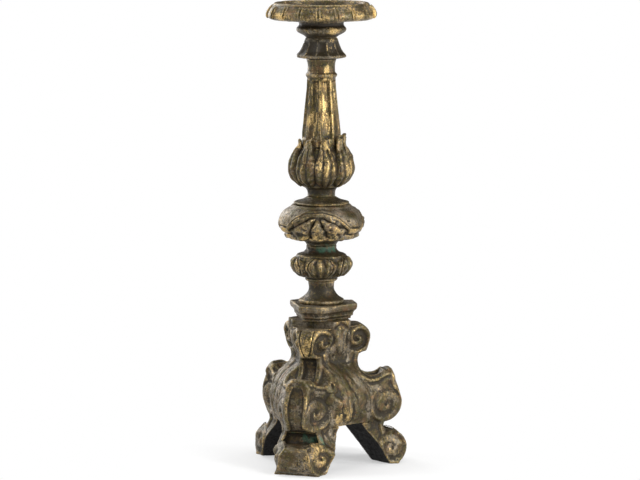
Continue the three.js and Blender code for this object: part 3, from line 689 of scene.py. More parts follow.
def raw_walls(piece, hollow_too=False):
    """1 on the rough walls of the arches, and of the hollow too if asked."""
    x, y, z = (read(piece.data.vertices, "co", 3) / MM).T
    raw, past_panels, past_seats = np.zeros(len(x)), np.full(len(x), -99.0), np.full(len(x), -99.0)
    for leg_turn, panel_turn in zip(LEG_TURNS, PANEL_TURNS):
        past_seats = np.maximum(past_seats, outwards(x, y, leg_turn) - seat_distance(z))
        out = outwards(x, y, panel_turn)
        behind = panel_distance(z) - out
        at_arch = smooth_step(-distance_to(arch_loop, sidewards(x, y, panel_turn), z), -1.4, -0.5)
        raw = np.maximum(raw, at_arch * smooth_step(behind, 2.6, 4.2) * (out > 0))
        past_panels = np.maximum(past_panels, -behind)
    if hollow_too:
        inside = np.maximum(past_panels, past_seats)
        raw = np.maximum(raw, smooth_step(-inside, 5.5, 7.5) * (z < CORE_TOP - 2))
    return raw


legs = {}
for name, turn in zip(("leg_front", "leg_right", "leg_left"), LEG_TURNS):
    spin = np.array([[math.cos(turn), -math.sin(turn), 0], [math.sin(turn), math.cos(turn), 0], [0, 0, 1]])
    legs[name] = new_piece("carved_" + name, leg_points @ spin.T, leg_faces)
    wear(legs[name], keep=by_the_seats)
    mark(legs[name].data, "raw", raw_walls(legs[name]))
body = new_piece("carved_base_body", body_points, body_faces)
wear(body, keep=by_the_seats)
mark(body.data, "raw", raw_walls(body, hollow_too=True))

# %% [markdown]
# ## Turned outlines
# The sections above the base are turned: one outline goes round the axis. An outline is walked in even
# steps and its corners are rubbed down by averaging each point with its neighbours along the line. Curved
# parts bend towards a pulling point, as a pen tool draws them.

# %% Outlines for turned sections
BORE = 5.3  # radius of the hole for the rod
NEIGHBOURS = 6  # points on either side that rub a corner down


class Outline:
    """An open outline of (distance from the axis, height), drawn from the lower end of the bore."""

    def __init__(self, base, radius):
        self.base, self.points = base, [(BORE, base - 0.3), (radius, base - 0.3)]

    def line(self, *ends):
        """Straight lines to each end in turn."""
        self.points += [(radius, self.base + height) for radius, height in ends]
        return self

    def bend(self, pull, end, steps=9):
        """A curve to the end that leaves towards the pulling point."""
        start, pull = np.array(self.points[-1]), np.array([pull[0], self.base + pull[1]])
        end = np.array([end[0], self.base + end[1]])
        for share in np.linspace(0, 1, steps + 1)[1:]:
            point = (1 - share) ** 2 * start + 2 * share * (1 - share) * pull + share**2 * end
            self.points.append(tuple(point))
        return self

    def close(self, height):
        """Ends at the upper end of the bore."""
        self.points.append((BORE, self.base + height))
        return self

    def even(self, step=0.9, rubbed=1.0):
        """Evenly spaced points with rubbed corners."""
        line = np.array(self.points, float)
        run = np.r_[0, np.cumsum(np.hypot(*np.diff(line, axis=0).T))]
        at = np.linspace(0, run[-1], int(run[-1] / step) + 1)
        even = np.stack([np.interp(at, run, line[:, i]) for i in (0, 1)], 1)
        shifts = np.arange(-NEIGHBOURS, NEIGHBOURS + 1)
        weights = np.exp(-((shifts * step / rubbed) ** 2) / 2)
        weights = weights / weights.sum()
        padded = np.pad(even, ((NEIGHBOURS, NEIGHBOURS), (0, 0)), mode="edge")
        starts = NEIGHBOURS + shifts
        soft = sum(weight * padded[start : start + len(even)] for start, weight in zip(starts, weights))
        soft[[0, -1]] = even[[0, -1]]
        return soft


def foot_of(node):
    """The height at which a CAD node stands, in millimetres."""
    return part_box(node)[0].z / MM


print("the lower knop stands at", round(foot_of("lower_knop"), 1), "mm")

# %% [markdown]
# ## Geometry Nodes for turning, fluting and ribs
# Two node trees do the regular work. The first takes a flat outline, sweeps it round a tiny circle to turn
# it, and sinks flutes between fillets by moving points towards the axis. The second sets copies of a mesh
# round the axis, alone or in pairs. Both have named inputs, so the column, the bell and the plain rings are
# one tree with different numbers. Modelling each flute by hand would be slower and never as even.

# %% A short way to write node trees
class Tree:
    """Adds nodes to a tree and links whatever is passed to them."""

    def __init__(self, tree):
        self.tree = tree

    def add(self, kind, *values, out=0, **settings):
        """A new node with its settings; gives back one of its outputs. None leaves a socket alone."""
        node = self.tree.nodes.new(kind)
        named = settings.pop("named", {})
        for key, value in settings.items():
            setattr(node, key, value)
        free = [socket for socket in node.inputs if socket.enabled]
        for socket, value in zip(free, values):
            self.put(socket, value)
        for key, value in named.items():
            self.put(node.inputs[key], value)
        outputs = [socket for socket in node.outputs if socket.enabled]
        return node.outputs[out] if isinstance(out, str) else outputs[out]

    def put(self, socket, value):
        """Links an output to a socket, or sets a plain value on it."""
        if isinstance(value, bpy.types.NodeSocket):
            self.tree.links.new(value, socket)
        elif value is not None:
            socket.default_value = value

    def math(self, operation, *values):
        return self.add("ShaderNodeMath", *values, operation=operation)

    def ramp(self, value, low, high):
        """The smooth step again, as a node."""
        return self.add("ShaderNodeMapRange", value, low, high, 0.0, 1.0, interpolation_type="SMOOTHSTEP")


class Geometry(Tree):
    """A Geometry Nodes tree whose sizes are named inputs."""

    def __init__(self, name, **inputs):
        super().__init__(bpy.data.node_groups.new(name, "GeometryNodeTree"))
        face = self.tree.interface
        face.new_socket("Geometry", in_out="OUTPUT", socket_type="NodeSocketGeometry")
        face.new_socket("Geometry", in_out="INPUT", socket_type="NodeSocketGeometry")
        for label, value in inputs.items():
            kind = "NodeSocketInt" if isinstance(value, int) else "NodeSocketFloat"
            socket = face.new_socket(label.replace("_", " "), in_out="INPUT", socket_type=kind)
            socket.default_value = value
        face.new_socket("Material", in_out="INPUT", socket_type="NodeSocketMaterial")
        self.given = self.tree.nodes.new("NodeGroupInput").outputs

    def end(self, geometry):
        """Every tree ends in plain geometry with its material."""
        real = self.add("GeometryNodeRealizeInstances", geometry)
        smooth = self.add("GeometryNodeSetShadeSmooth", real)
        finished = self.add("GeometryNodeSetMaterial", smooth, named={"Material": self.given["Material"]})
        self.tree.links.new(finished, self.tree.nodes.new("NodeGroupOutput").inputs[0])
        return self.tree


print("node writers:", Tree.__name__, "and", Geometry.__name__)

# %% [markdown]
# In the turning tree, a whole turn is cut into as many phases as there are flutes. Within a phase the
# distance from the fillet drives a quarter circle, the scoop, and two soft steps end it above and below.
# Points nearer the axis than `Outside` belong to the bore and stay where they are.

# %% The turning tree
SWEEP = 0.001  # radius in metres of the circle that carries the outline round


def turning_tree():
    """Sweeps an outline round the axis and sinks flutes into it."""
    g = Geometry("turned_and_fluted", Turns=240, Flutes=8, Flute_Depth=0.0, Fillet=0.2, From=0.0, To=1.0,
                 End_Curve=0.004, First_Fillet=0.0, Outside=0.01)
    given = g.given
    outline = g.add("GeometryNodeMeshToCurve", given["Geometry"])
    circle = g.add("GeometryNodeCurvePrimitiveCircle", given["Turns"], named={"Radius": SWEEP})
    swept = g.add("GeometryNodeCurveToMesh", named={"Curve": circle, "Profile Curve": outline})
    place = g.add("GeometryNodeInputPosition")
    split = g.tree.nodes.new("ShaderNodeSeparateXYZ")
    g.put(split.inputs[0], place)
    x, y, z = split.outputs
    flat = g.add("ShaderNodeCombineXYZ", x, y, 0.0)
    radius = g.add("ShaderNodeVectorMath", flat, operation="LENGTH", out="Value")
    azimuth = g.math("ARCTAN2", x, g.math("MULTIPLY", y, -1.0))
    turn = g.math("DIVIDE", g.math("SUBTRACT", azimuth, given["First Fillet"]), 2 * math.pi)
    phase = g.math("FRACT", g.math("ADD", g.math("MULTIPLY", turn, given["Flutes"]), 32.0))
    from_middle = g.math("MULTIPLY", g.math("ABSOLUTE", g.math("SUBTRACT", phase, 0.5)), 2.0)
    middle = g.math("SUBTRACT", 1.0, from_middle)
    inward = g.add("ShaderNodeMapRange", middle, given["Fillet"], 1.0, 0.0, 1.0)
    back = g.math("SUBTRACT", 1.0, inward)
    scoop = g.math("SQRT", g.math("SUBTRACT", 1.0, g.math("MULTIPLY", back, back)))
    rise = g.ramp(z, given["From"], g.math("ADD", given["From"], given["End Curve"]))
    fall = g.ramp(z, g.math("SUBTRACT", given["To"], given["End Curve"]), given["To"])
    share = g.math("MULTIPLY", g.math("MULTIPLY", scoop, rise), g.math("SUBTRACT", 1.0, fall))
    shown = g.math("GREATER_THAN", radius, given["Outside"])
    sunk = g.math("MULTIPLY", g.math("MULTIPLY", share, given["Flute Depth"]), shown)
    scale = g.math("DIVIDE", g.math("SUBTRACT", radius, sunk), radius)
    moved = g.add("ShaderNodeCombineXYZ", g.math("MULTIPLY", x, scale), g.math("MULTIPLY", y, scale), z)
    return g.end(g.add("GeometryNodeSetPosition", swept, named={"Position": moved}))


TURNING = turning_tree()
print("tree:", TURNING.name)

# %% [markdown]
# The copies tree numbers its points, splits the numbers into groups, and gives each point a turn: that of
# its group, and a small step to either side within the group.

# %% The copies tree
def copies_tree():
    """Sets copies round the axis, in groups."""
    g = Geometry("copies_round_the_axis", Count=6, Per_Group=1, Spread=0.0, First=0.0)
    given = g.given
    index = g.add("GeometryNodeInputIndex")
    group = g.math("FLOOR", g.math("DIVIDE", index, given["Per Group"]))
    groups = g.math("DIVIDE", given["Count"], given["Per Group"])
    within = g.math("SUBTRACT", index, g.math("MULTIPLY", group, given["Per Group"]))
    centred = g.math("SUBTRACT", within, g.math("MULTIPLY", g.math("SUBTRACT", given["Per Group"], 1.0), 0.5))
    turn = g.math("MULTIPLY", g.math("DIVIDE", group, groups), 2 * math.pi)
    angle = g.math("ADD", g.math("ADD", turn, given["First"]), g.math("MULTIPLY", centred, given["Spread"]))
    points = g.add("GeometryNodePoints", given["Count"])
    spin = g.add("ShaderNodeCombineXYZ", 0.0, 0.0, angle)
    placed = g.add("GeometryNodeInstanceOnPoints", named={
        "Points": points, "Instance": given["Geometry"], "Rotation": spin})
    return g.end(placed)


COPIES = copies_tree()
print("tree:", COPIES.name)

# %% [markdown]
# A tree runs as a modifier on the object that it starts from. Its numbers are set by the identifiers of the
# sockets, the result is copied into a plain mesh, and the modifier goes. A sweep may come out inside out,
# which its volume tells: then the faces are turned round.

# %% Run a tree
def volume(mesh):
    """The volume inside a closed mesh, below 0 when its faces look inwards."""
    mesh.calc_loop_triangles()
    points = read(mesh.vertices, "co", 3).astype(float)
    corners = np.zeros(len(mesh.loop_triangles) * 3, np.int32)
    mesh.loop_triangles.foreach_get("vertices", corners)
    a, b, c = (points[corners[i::3]] for i in range(3))
    return float((a * np.cross(b, c)).sum()) / 6


def run_tree(name, tree, mesh_object, material, **inputs):
    """Runs a tree on an object, keeps the result as a plain mesh under a new name and drops the object."""
    modifier = mesh_object.modifiers.new("tree", "NODES")
    modifier.node_group = tree
    sockets = {item.name: item.identifier for item in tree.interface.items_tree if item.in_out == "INPUT"}
    for label, value in inputs.items():
        modifier[sockets[label.replace("_", " ")]] = value
    modifier[sockets["Material"]] = material
    bpy.context.view_layer.update()
    graph = bpy.context.evaluated_depsgraph_get()
    mesh = bpy.data.meshes.new_from_object(mesh_object.evaluated_get(graph))
    mesh_object.modifiers.remove(modifier)
    bpy.data.objects.remove(mesh_object)
    mesh.name = name
    mesh.materials.clear()
    mesh.materials.append(material)
    mesh.polygons.foreach_set("material_index", np.zeros(len(mesh.polygons), np.int32))
    if volume(mesh) < 0:
        mesh.flip_normals()
    return put_up(name, mesh)


print("trees ready:", len(bpy.data.node_groups))

# %% [markdown]
# ## The patina
# Old gilded bronze has at least five layers in view: a warm umber body, a lilac grey bloom on broad faces,
# olive dirt in the hollows, gold where leaf survives or hands have rubbed, and a little green verdigris.
# Some of the gold is a painted highlight, the dirt also paints shade on the rings under the pan, and pale
# flecks on proud edges are partly a painted glint.
# One node tree mixes them with noise in the object's own coordinates, and the marks on the mesh decide
# where each layer may grow. A painted image would do it once, but the nodes work on every section and from
# every side. Mixes of the same tree give all the bronzes of the stand.

# %% Colours
def linear(value):
    """One part of a colour, 0 to 255 as a colour picker shows it, as the linear number a shader uses."""
    return ((value / 255 + 0.055) / 1.055) ** 2.4 if value > 10 else value / 255 / 12.92


def srgb(red, green, blue):
    return linear(red), linear(green), linear(blue), 1


UMBER, OLIVE, COPPER = srgb(86, 72, 50), srgb(80, 74, 40), srgb(126, 92, 66)
# The pale colour is partly wear and partly a painted glint on proud edges; the dark dirt colour on this line
# is also painted shade under the pan.
BLOOM, DIRT_AND_SHADE, PALE_WEAR_AND_GLINT = srgb(142, 132, 118), srgb(30, 22, 7), srgb(168, 156, 132)
# The gold colours also paint highlights on the column, the collar and the bell.
GOLD, BRIGHT_GOLD = srgb(160, 130, 72), srgb(226, 196, 138)
TEAL, DEEP_GREEN = srgb(66, 116, 92), srgb(48, 80, 66)
RAW, SANDY_RAW = srgb(15, 13, 12), srgb(32, 28, 26)
STEEL, WORN_STEEL = srgb(38, 36, 33), srgb(84, 76, 68)
print("gold in linear numbers:", [round(part, 3) for part in GOLD[:3]])

# %% [markdown]
# A finish is a material with its node writer. It can add up weighted values, read a mark of the mesh, make
# noise at a size in millimetres, and lay one colour over another.

# %% A writer for finishes
class Finish(Tree):
    """A material on the object's own coordinates."""

    def __init__(self, name):
        self.material = bpy.data.materials.new(name)
        self.material.use_nodes = True
        super().__init__(self.material.node_tree)
        self.surface = self.tree.nodes["Principled BSDF"]
        self.place = self.add("ShaderNodeTexCoord", out="Object")

    def sum(self, *terms):
        """Adds up (value, weight) pairs and plain numbers."""
        total = 0.0
        for term in terms:
            value = self.math("MULTIPLY", *term) if isinstance(term, tuple) else term
            total = self.math("ADD", total, value)
        return total

    def mark(self, name):
        """A number that was stored on the mesh."""
        return self.add("ShaderNodeAttribute", attribute_name=name, out="Fac")

    def noise(self, size, detail=4.0, rough=0.55, stretch=(1, 1, 1), shift=0.0):
        """Noise in lumps of `size` millimetres."""
        place = self.add("ShaderNodeMapping", named={
            "Vector": self.place, "Scale": stretch, "Location": (shift, shift, shift)})
        return self.add("ShaderNodeTexNoise", named={
            "Vector": place, "Scale": 1000 / size, "Detail": detail, "Roughness": rough})

    def layer(self, share, below, above):
        """One colour over another."""
        node = self.tree.nodes.new("ShaderNodeMix")
        node.data_type = "RGBA"
        for index, value in ((0, share), (6, below), (7, above)):  # the sockets of the node's colour mode
            self.put(node.inputs[index], value)
        return node.outputs[2]


print("marks on the body:", [layer.name for layer in body.data.attributes if layer.data_type == "FLOAT"])

# %% [markdown]
# Now the layers themselves. Each has a share from 0 to 1: noise and marks are added up, and a soft step turns
# the sum into patches. Metal and gloss follow the same shares, so that gold shines and dirt stays dull.

# %% Patinated bronze
def bronze(name, gold, bloom, dirt, rubbed=1.0, polish=0.0, streaky=0.0):
    """Patinated bronze. `gold`, `bloom` and `dirt` say how much of a layer shows, `rubbed` how far the layers
    follow the carving, `polish` how far it shines, and `streaky` how far the gold runs in upright streaks."""
    f = Finish(name)
    blotch, cloudy = f.noise(28, 5, 0.6), f.noise(9, 5, 0.62, shift=3)
    grit, flecks = f.noise(3.2, 5, 0.68, shift=7), f.noise(2.1, 5, 0.7, shift=11)
    grain, streaks = f.noise(0.7, 2, 0.6, shift=17), f.noise(3.0, 3, 0.6, stretch=(1, 1, 0.12), shift=23)
    hollow, proud, green, gilt_and_highlight, raw = (f.mark(m) for m in ("hollow", "proud", "green", "gilt_and_highlight", "raw"))

    bloomy = f.sum((blotch, 1.0), (cloudy, 0.4), (hollow, -0.24), (proud, -0.08), bloom)
    bloom_share = f.ramp(bloomy, 0.72, 0.94)
    # The dirt layer: real dirt in the hollows, which in the darker mix for the rings under the pan also
    # paints their shade.
    dirt_and_shade_level = f.sum((hollow, 0.17 * rubbed), (grit, 1.0), (cloudy, 0.6), (proud, -0.05 * rubbed), dirt)
    dirt_and_shade_share = f.ramp(dirt_and_shade_level, 0.76, 0.90)
    leaf_left = f.sum((flecks, 0.7 - streaky / 2), (streaks, 0.35 + streaky), (blotch, 0.45 - streaky / 2))
    # The gold layer: gilding and rubbed edges, and painted highlights where the spots put them.
    gold_and_highlight_level = f.sum((gilt_and_highlight, 0.16), (proud, 0.06 * rubbed), (hollow, -0.09 * rubbed), leaf_left, gold)
    gold_and_highlight_share = f.ramp(gold_and_highlight_level, 0.81, 0.98)
    # Pale flecks on proud edges and grit: partly worn metal, partly a painted glint.
    worn_edge_and_glint_share = f.ramp(f.sum((proud, 0.12), (grit, 1.0)), 0.58, 0.78)
    green_share = f.ramp(f.sum((green, 0.42), (cloudy, 0.7), (flecks, 0.5)), 0.82, 0.98)

    colour = f.layer(f.ramp(cloudy, 0.4, 0.6), UMBER, OLIVE)
    coppery = f.ramp(f.noise(13, 4, 0.6, shift=29), 0.54, 0.7)
    colour = f.layer(f.math("MULTIPLY", coppery, 0.55), colour, COPPER)
    colour = f.layer(f.math("MULTIPLY", bloom_share, 0.75), colour, BLOOM)
    colour = f.layer(f.math("MULTIPLY", dirt_and_shade_share, 0.9), colour, DIRT_AND_SHADE)
    colour = f.layer(f.math("MULTIPLY", worn_edge_and_glint_share, 0.34), colour, PALE_WEAR_AND_GLINT)
    colour = f.layer(gold_and_highlight_share, colour, f.layer(f.ramp(grain, 0.4, 0.62), GOLD, BRIGHT_GOLD))
    verdigris = f.layer(f.ramp(flecks, 0.4, 0.6), TEAL, DEEP_GREEN)
    colour = f.layer(f.math("MULTIPLY", green_share, 0.66), colour, verdigris)
    colour = f.layer(raw, colour, f.layer(f.ramp(cloudy, 0.5, 0.8), RAW, SANDY_RAW))
    f.put(f.surface.inputs["Base Color"], colour)

    clean = f.math("SUBTRACT", 1.0, f.math("MAXIMUM", dirt_and_shade_share, f.math("MAXIMUM", green_share, raw)))
    f.put(f.surface.inputs["Metallic"], f.math("MULTIPLY", clean, f.sum(0.68, (gold_and_highlight_share, 0.27))))
    rough = f.sum(0.24 - polish, (gold_and_highlight_share, -0.02), (dirt_and_shade_share, 0.2), (raw, 0.4), (grit, 0.26),
                  (bloom_share, 0.06))
    f.put(f.surface.inputs["Roughness"], rough)
    height = f.sum((cloudy, 0.9), (grit, 0.9), (flecks, 0.3), (grain, 0.12), (dirt_and_shade_share, -0.12))
    bumped = f.add("ShaderNodeBump", named={"Strength": 0.8, "Distance": 0.0012, "Height": height})
    f.put(f.surface.inputs["Normal"], bumped)
    f.surface.inputs["Specular IOR Level"].default_value = 0.35
    return f.material


FINISHES = {
    "rubbed_bronze": bronze("patina_rubbed", gold=-0.02, bloom=0.0, dirt=0.01, polish=0.03),
    "aged_bronze": bronze("patina_aged", gold=-0.03, bloom=0.15, dirt=-0.02),
    "dark_bronze": bronze("patina_dark", gold=-0.03, bloom=0.03, dirt=0.02),
}
print("bronzes:", list(FINISHES))

# %% [markdown]
# The hardware inside is blacked steel, rubbed bare here and there. Some bronze sections need a mix of their
# own in the same slot: gold lies inside the column's flutes, the rings under the pan are nearly black, which
# is painted shade from the pan, and the base is paler because it was dusted more than polished.

# %% Blacked steel, and mixes for single sections
def steel(name):
    """Blacked steel for the rod, nuts and screws."""
    f = Finish(name)
    worn = f.ramp(f.noise(3, 4, 0.6), 0.55, 0.75)
    f.put(f.surface.inputs["Base Color"], f.layer(worn, STEEL, WORN_STEEL))
    f.put(f.surface.inputs["Roughness"], f.sum(0.42, (f.noise(1.1, 3), 0.3)))
    f.surface.inputs["Metallic"].default_value = 0.8
    bumped = f.add("ShaderNodeBump", named={"Strength": 0.3, "Distance": 0.0003, "Height": f.noise(0.8, 3)})
    f.put(f.surface.inputs["Normal"], bumped)
    return f.material


FINISHES["blacked_steel"] = steel("patina_steel")
COLUMN_FINISH = bronze(
    "patina_column", gold=0.02, bloom=0.0, dirt=-0.02, rubbed=0.3, polish=0.06, streaky=0.4)
# The collar and the bell under the pan: a darker mix, with more dirt and less bloom and gold, that paints the
# shade of the pan.
UNDER_PAN_PAINTED_SHADE = bronze("patina_shaded", gold=-0.05, bloom=-0.1, dirt=0.18, polish=0.06)
LEG_FINISH = bronze("patina_legs", gold=-0.02, bloom=0.09, dirt=-0.01)
BODY_FINISH = bronze("patina_body", gold=-0.03, bloom=0.10, dirt=-0.02)
SLOT_OF = {finish: slot for slot, finish in FINISHES.items()}
SLOT_OF.update({COLUMN_FINISH: "rubbed_bronze", UNDER_PAN_PAINTED_SHADE: "aged_bronze", LEG_FINISH: "rubbed_bronze",
                BODY_FINISH: "aged_bronze"})
print("finishes:", list(FINISHES))

# %% [markdown]
# ## Sections that are turned and regular
# The column, the bell below the pan, the plain rings and the pan itself are all the turning tree with other
# numbers. The heights start at the foot of the CAD node that each piece stands for, so they can't drift away
# from the stack.

# %% Turn a piece
def holder(outline):
    """A closed outline as a mesh of edges, lying flat for the turning tree."""
    points = outline.even()
    mesh = bpy.data.meshes.new("outline")
    count = len(points)
    places = [(radius * MM - SWEEP, -height * MM, 0) for radius, height in points]
    mesh.from_pydata(places, [(i, (i + 1) % count) for i in range(count)], [])
    return put_up("outline", mesh)


def turned_piece(name, outline, finish, lumps=1.0, **inputs):
    """Turns an outline, closed from the end of the bore to its start, and wears it."""
    piece = run_tree(name, TURNING, holder(outline), finish, **inputs)
    wear(piece, lumps)
    return piece


pieces = {}
print("an outline is closed round a bore of", 2 * BORE, "mm")

# %% [markdown]
# The column has eight flutes that open downwards, a bead near its top, and gold that runs down inside the
# flutes, part of it a painted highlight streak on the right. The bell's pleats are the same tree with more
# and shallower flutes.

# %% The fluted column and the pleated bell
base = foot_of("fluted_column")
shaft = Outline(base, 25.4).line((25.4, 15), (22.5, 42), (19.4, 72), (18.6, 86), (18.6, 87.6), (20.4, 88.6))
shaft.line((21, 90.5), (20.6, 92.4), (18.6, 93.6), (18.0, 95), (17.9, 104), (18.6, 108), (20, 112)).close(112)
pieces["fluted_column"] = turned_piece(
    "carved_column", shaft, COLUMN_FINISH, lumps=0.7, Turns=288, Flutes=8, Flute_Depth=4.2 * MM, Fillet=0.18,
    From=(base + 6) * MM, To=(base + 86) * MM, End_Curve=5 * MM, First_Fillet=math.radians(14),
    Outside=14 * MM)

base = foot_of("bell_skirt")
bell = Outline(base, 17.5).line((26, 0.6), (32.2, 1.6), (33.4, 3.6), (32.8, 5.4))
bell.bend((26.6, 10), (23.4, 21)).line((21.4, 25.5), (20.4, 27.7)).close(27.7)
# The bell takes the darker mix: painted shade from the pan above it.
pieces["bell_skirt"] = turned_piece(
    "pleated_bell", bell, UNDER_PAN_PAINTED_SHADE, Turns=288, Flutes=12, Flute_Depth=2.6 * MM, Fillet=0.12,
    From=(base + 0.8) * MM, To=(base + 25) * MM, End_Curve=7 * MM, First_Fillet=math.radians(6),
    Outside=19 * MM)
print("fluted:", list(pieces))

# %% [markdown]
# Three plain rings: the fat collar that carries the pan, the sharp flange below the bulb's neck, and the
# hollow waist over the abacus. Without flutes the tree only turns them.

# %% The collar, the flange and the waist
base = foot_of("pan_collar")
collar = Outline(base, 20.6).line((21.4, 0.8), (23.5, 2.6), (29.6, 5.6)).bend((35.2, 9.3), (31.4, 13.4))
collar.bend((28.4, 15), (29.0, 17.6)).line((29.6, 19.5), (30.4, 21.2)).close(21.2)
# The collar takes the darker mix: painted shade from the pan above it.
pieces["pan_collar"] = turned_piece("ringed_collar", collar, UNDER_PAN_PAINTED_SHADE, Turns=260)

base = foot_of("flange_disc")
disc = Outline(base, 35).line((36.5, 0.9), (36.8, 2.0), (35.8, 3.2)).bend((24, 5.2), (18.6, 10.2)).close(10.2)
pieces["flange_disc"] = turned_piece("flange", disc, FINISHES["dark_bronze"], Turns=260)

base = foot_of("waist_spool")
waist = Outline(base, 29).line((30.2, 1.2), (30.0, 4.4)).bend((18.2, 9.4), (16.5, 19))
waist.bend((16.3, 25), (17.8, 29.2)).close(29.2)
pieces["waist_spool"] = turned_piece("waist", waist, FINISHES["dark_bronze"], Turns=240)
print(len(pieces), "turned pieces so far")

# %% [markdown]
# The pan rolls over at its rim, stands up in a smooth lip, and drops to a floor that takes a pillar candle.
# A small well in the middle of the floor hides the nut.

# %% The drip pan
PAN_HEIGHT, RECESS, WELL = 23.9, 10, 7
RIM_STARTS = 9  # the point of the outline where the rolled rim begins
base = foot_of("drip_pan")
floor = PAN_HEIGHT - RECESS
rim = Outline(base, 31).line((32, 1.4), (62, 1.4)).bend((70.4, 2.2), (71.4, 7.6))
rim.bend((70.8, 13.6), (64.8, 19.4))
rim_line = flow(rim.points[RIM_STARTS:], 2)
rim.line((63.6, 19.8), (63.0, 21.4), (61.6, 23.4), (58.8, 23.8), (56.8, 22.4), (54.8, floor + 4))
rim.line((53, floor), (15, floor), (14.5, floor - WELL)).close(floor - WELL)
pieces["drip_pan"] = turned_piece("ribbed_pan", rim, FINISHES["rubbed_bronze"], Turns=300)
print("the candle stands", round(base + floor, 1), "mm above the table")

# %% [markdown]
# ## Ribs on the pan and tips on the leaves
# The rim of the pan carries thin ribs in pairs, and leaf tips stand free of the bulb. Both are bars of
# changing width bent along a line, drawn once in the upright plane of the front leg. The copies tree sets
# them round the axis.

# %% Bars along a line
def bent_bar(name, line, sides=8):
    """A closed bar along a line of (distance from the axis, height, half width, half thickness)."""
    line = np.array(line, float)
    along = np.gradient(line[:, :2], axis=0)
    along /= np.linalg.norm(along, axis=1)[:, None]
    out = np.stack([along[:, 1], -along[:, 0]], 1)
    turn = np.arange(sides) * 2 * math.pi / sides
    wide = line[:, 2:3] * np.cos(turn)
    thick = line[:, 3:4] * np.sin(turn)
    distance = line[:, :1] + out[:, :1] * thick
    height = line[:, 1:2] + out[:, 1:] * thick
    points = np.stack([wide, -distance, height], 2).reshape(-1, 3)
    rows = np.arange(len(line) - 1)[:, None] * sides
    ring = np.arange(sides)
    after = (ring + 1) % sides
    faces = np.stack([rows + ring, rows + after, rows + sides + after, rows + sides + ring], 2).reshape(-1, 4)
    ends = [list(range(sides))[::-1], list(range(len(points) - sides, len(points)))]
    mesh = bpy.data.meshes.new(name)
    mesh.from_pydata((points * MM).tolist(), [], faces.tolist() + ends)
    return put_up(name, mesh)


RIB_HALF_WIDTH, RIB_THICKNESS, RIB_LUMPS = 1.05, 1.6, 0.4
rib = bent_bar("rib", [(radius, height, RIB_HALF_WIDTH, RIB_THICKNESS) for radius, height in rim_line])
pieces["rim_ribs"] = run_tree("rim_ribs", COPIES, rib, FINISHES["rubbed_bronze"], Count=36, Per_Group=2,
                              Spread=math.radians(3.6), First=math.radians(15.5))
wear(pieces["rim_ribs"], RIB_LUMPS)

# %% [markdown]
# The bulb has eight leaves. Two of them end in tall tips that stand side by side on the right, and the other
# six are short. A tip leans on the shaft, then curls outwards at its end.

# %% Leaf tips
base = foot_of("leaf_bulb")
PETALS, FIRST_PETAL = 8, 28  # FIRST_PETAL is a turn in degrees
PETAL_STEP = 360 / PETALS
tall = flow([(33, base + 48, 8, 2.4), (32.4, base + 57, 8.2, 2.6), (30.4, base + 65, 7.6, 2.8),
             (28.8, base + 71, 6.4, 3.6), (29.2, base + 76, 5.6, 3.8), (31.0, base + 79.8, 4.2, 3.2),
             (32.2, base + 79, 2.4, 1.6)])
short = flow([(33, base + 46, 8, 2.2), (32, base + 56, 8, 2.4), (30, base + 63, 7.0, 2.6),
              (28.4, base + 69, 5.4, 2.6), (28.6, base + 73, 3.8, 2.2), (29.6, base + 75, 2.2, 1.4)])
for name, line, count, middle in (("tall_leaf_tips", tall, 2, FIRST_PETAL + 1.5 * PETAL_STEP),
                                  ("short_leaf_tips", short, 6, FIRST_PETAL + 5.5 * PETAL_STEP)):
    tip = bent_bar(name, line, sides=20)
    pieces[name] = run_tree(name, COPIES, tip, FINISHES["rubbed_bronze"], Count=count, Per_Group=count,
                            Spread=math.radians(PETAL_STEP), First=math.radians(middle))
    wear(pieces[name])

# %% [markdown]
# ## Carved round sections
# The bulb and the two knops are turned bodies with carving that no simple rule gives. Their surface is a
# grid of rings and turns, and a carving function says how far each place stands in or out along the
# surface's own direction.

# %% Carve a round section
def carved_round(name, outline, carve, finish, turns=360):
    """Turns an outline and moves every point out by what `carve` gives for its turn, distance and height."""
    line = outline.even()
    along = np.gradient(line, axis=0)
    along /= np.linalg.norm(along, axis=1)[:, None]
    turn = np.arange(turns) * 2 * math.pi / turns
    radius, height = line[:, :1] + 0 * turn, line[:, 1:] + 0 * turn
    raised = carve(np.degrees(turn)[None], radius, height)
    points = round_axis(turn, radius + along[:, 1:] * raised, height - along[:, :1] * raised).reshape(-1, 3)
    rows, ring = np.arange(len(line))[:, None], np.arange(turns)[None]
    after, beside = (rows + 1) % len(line), (ring + 1) % turns
    corners = [rows * turns + ring, rows * turns + beside, after * turns + beside, after * turns + ring]
    faces = np.stack([np.broadcast_to(c, (len(line), turns)) for c in corners], 2).reshape(-1, 4)
    piece = new_piece(name, points, faces)
    piece.data.materials.append(FINISHES[finish])
    wear(piece)
    return piece


def off_centre(degrees, first, pitch):
    """Degrees from the middle of the nearest repeat."""
    return (degrees - first + pitch / 2) % pitch - pitch / 2


def warped(degrees, radius, height, size, amount):
    """Lumps over a round section, used to bend a pattern so that its repeats differ."""
    return cloud(round_axis(np.radians(degrees), radius, height), size, 1.7) * amount


print("30 degrees is", off_centre(30, 0, 45), "from the middle of its repeat of 45")

# %% [markdown]
# A leaf of the bulb is half a circle across. It is narrow at its foot, widest low on the bulb and narrower
# again towards the tip. A midrib, two side ribs and faint slanting veins lie on it, and the ground between
# the leaves is sunk.

# %% The leaves of the bulb
base = foot_of("leaf_bulb")


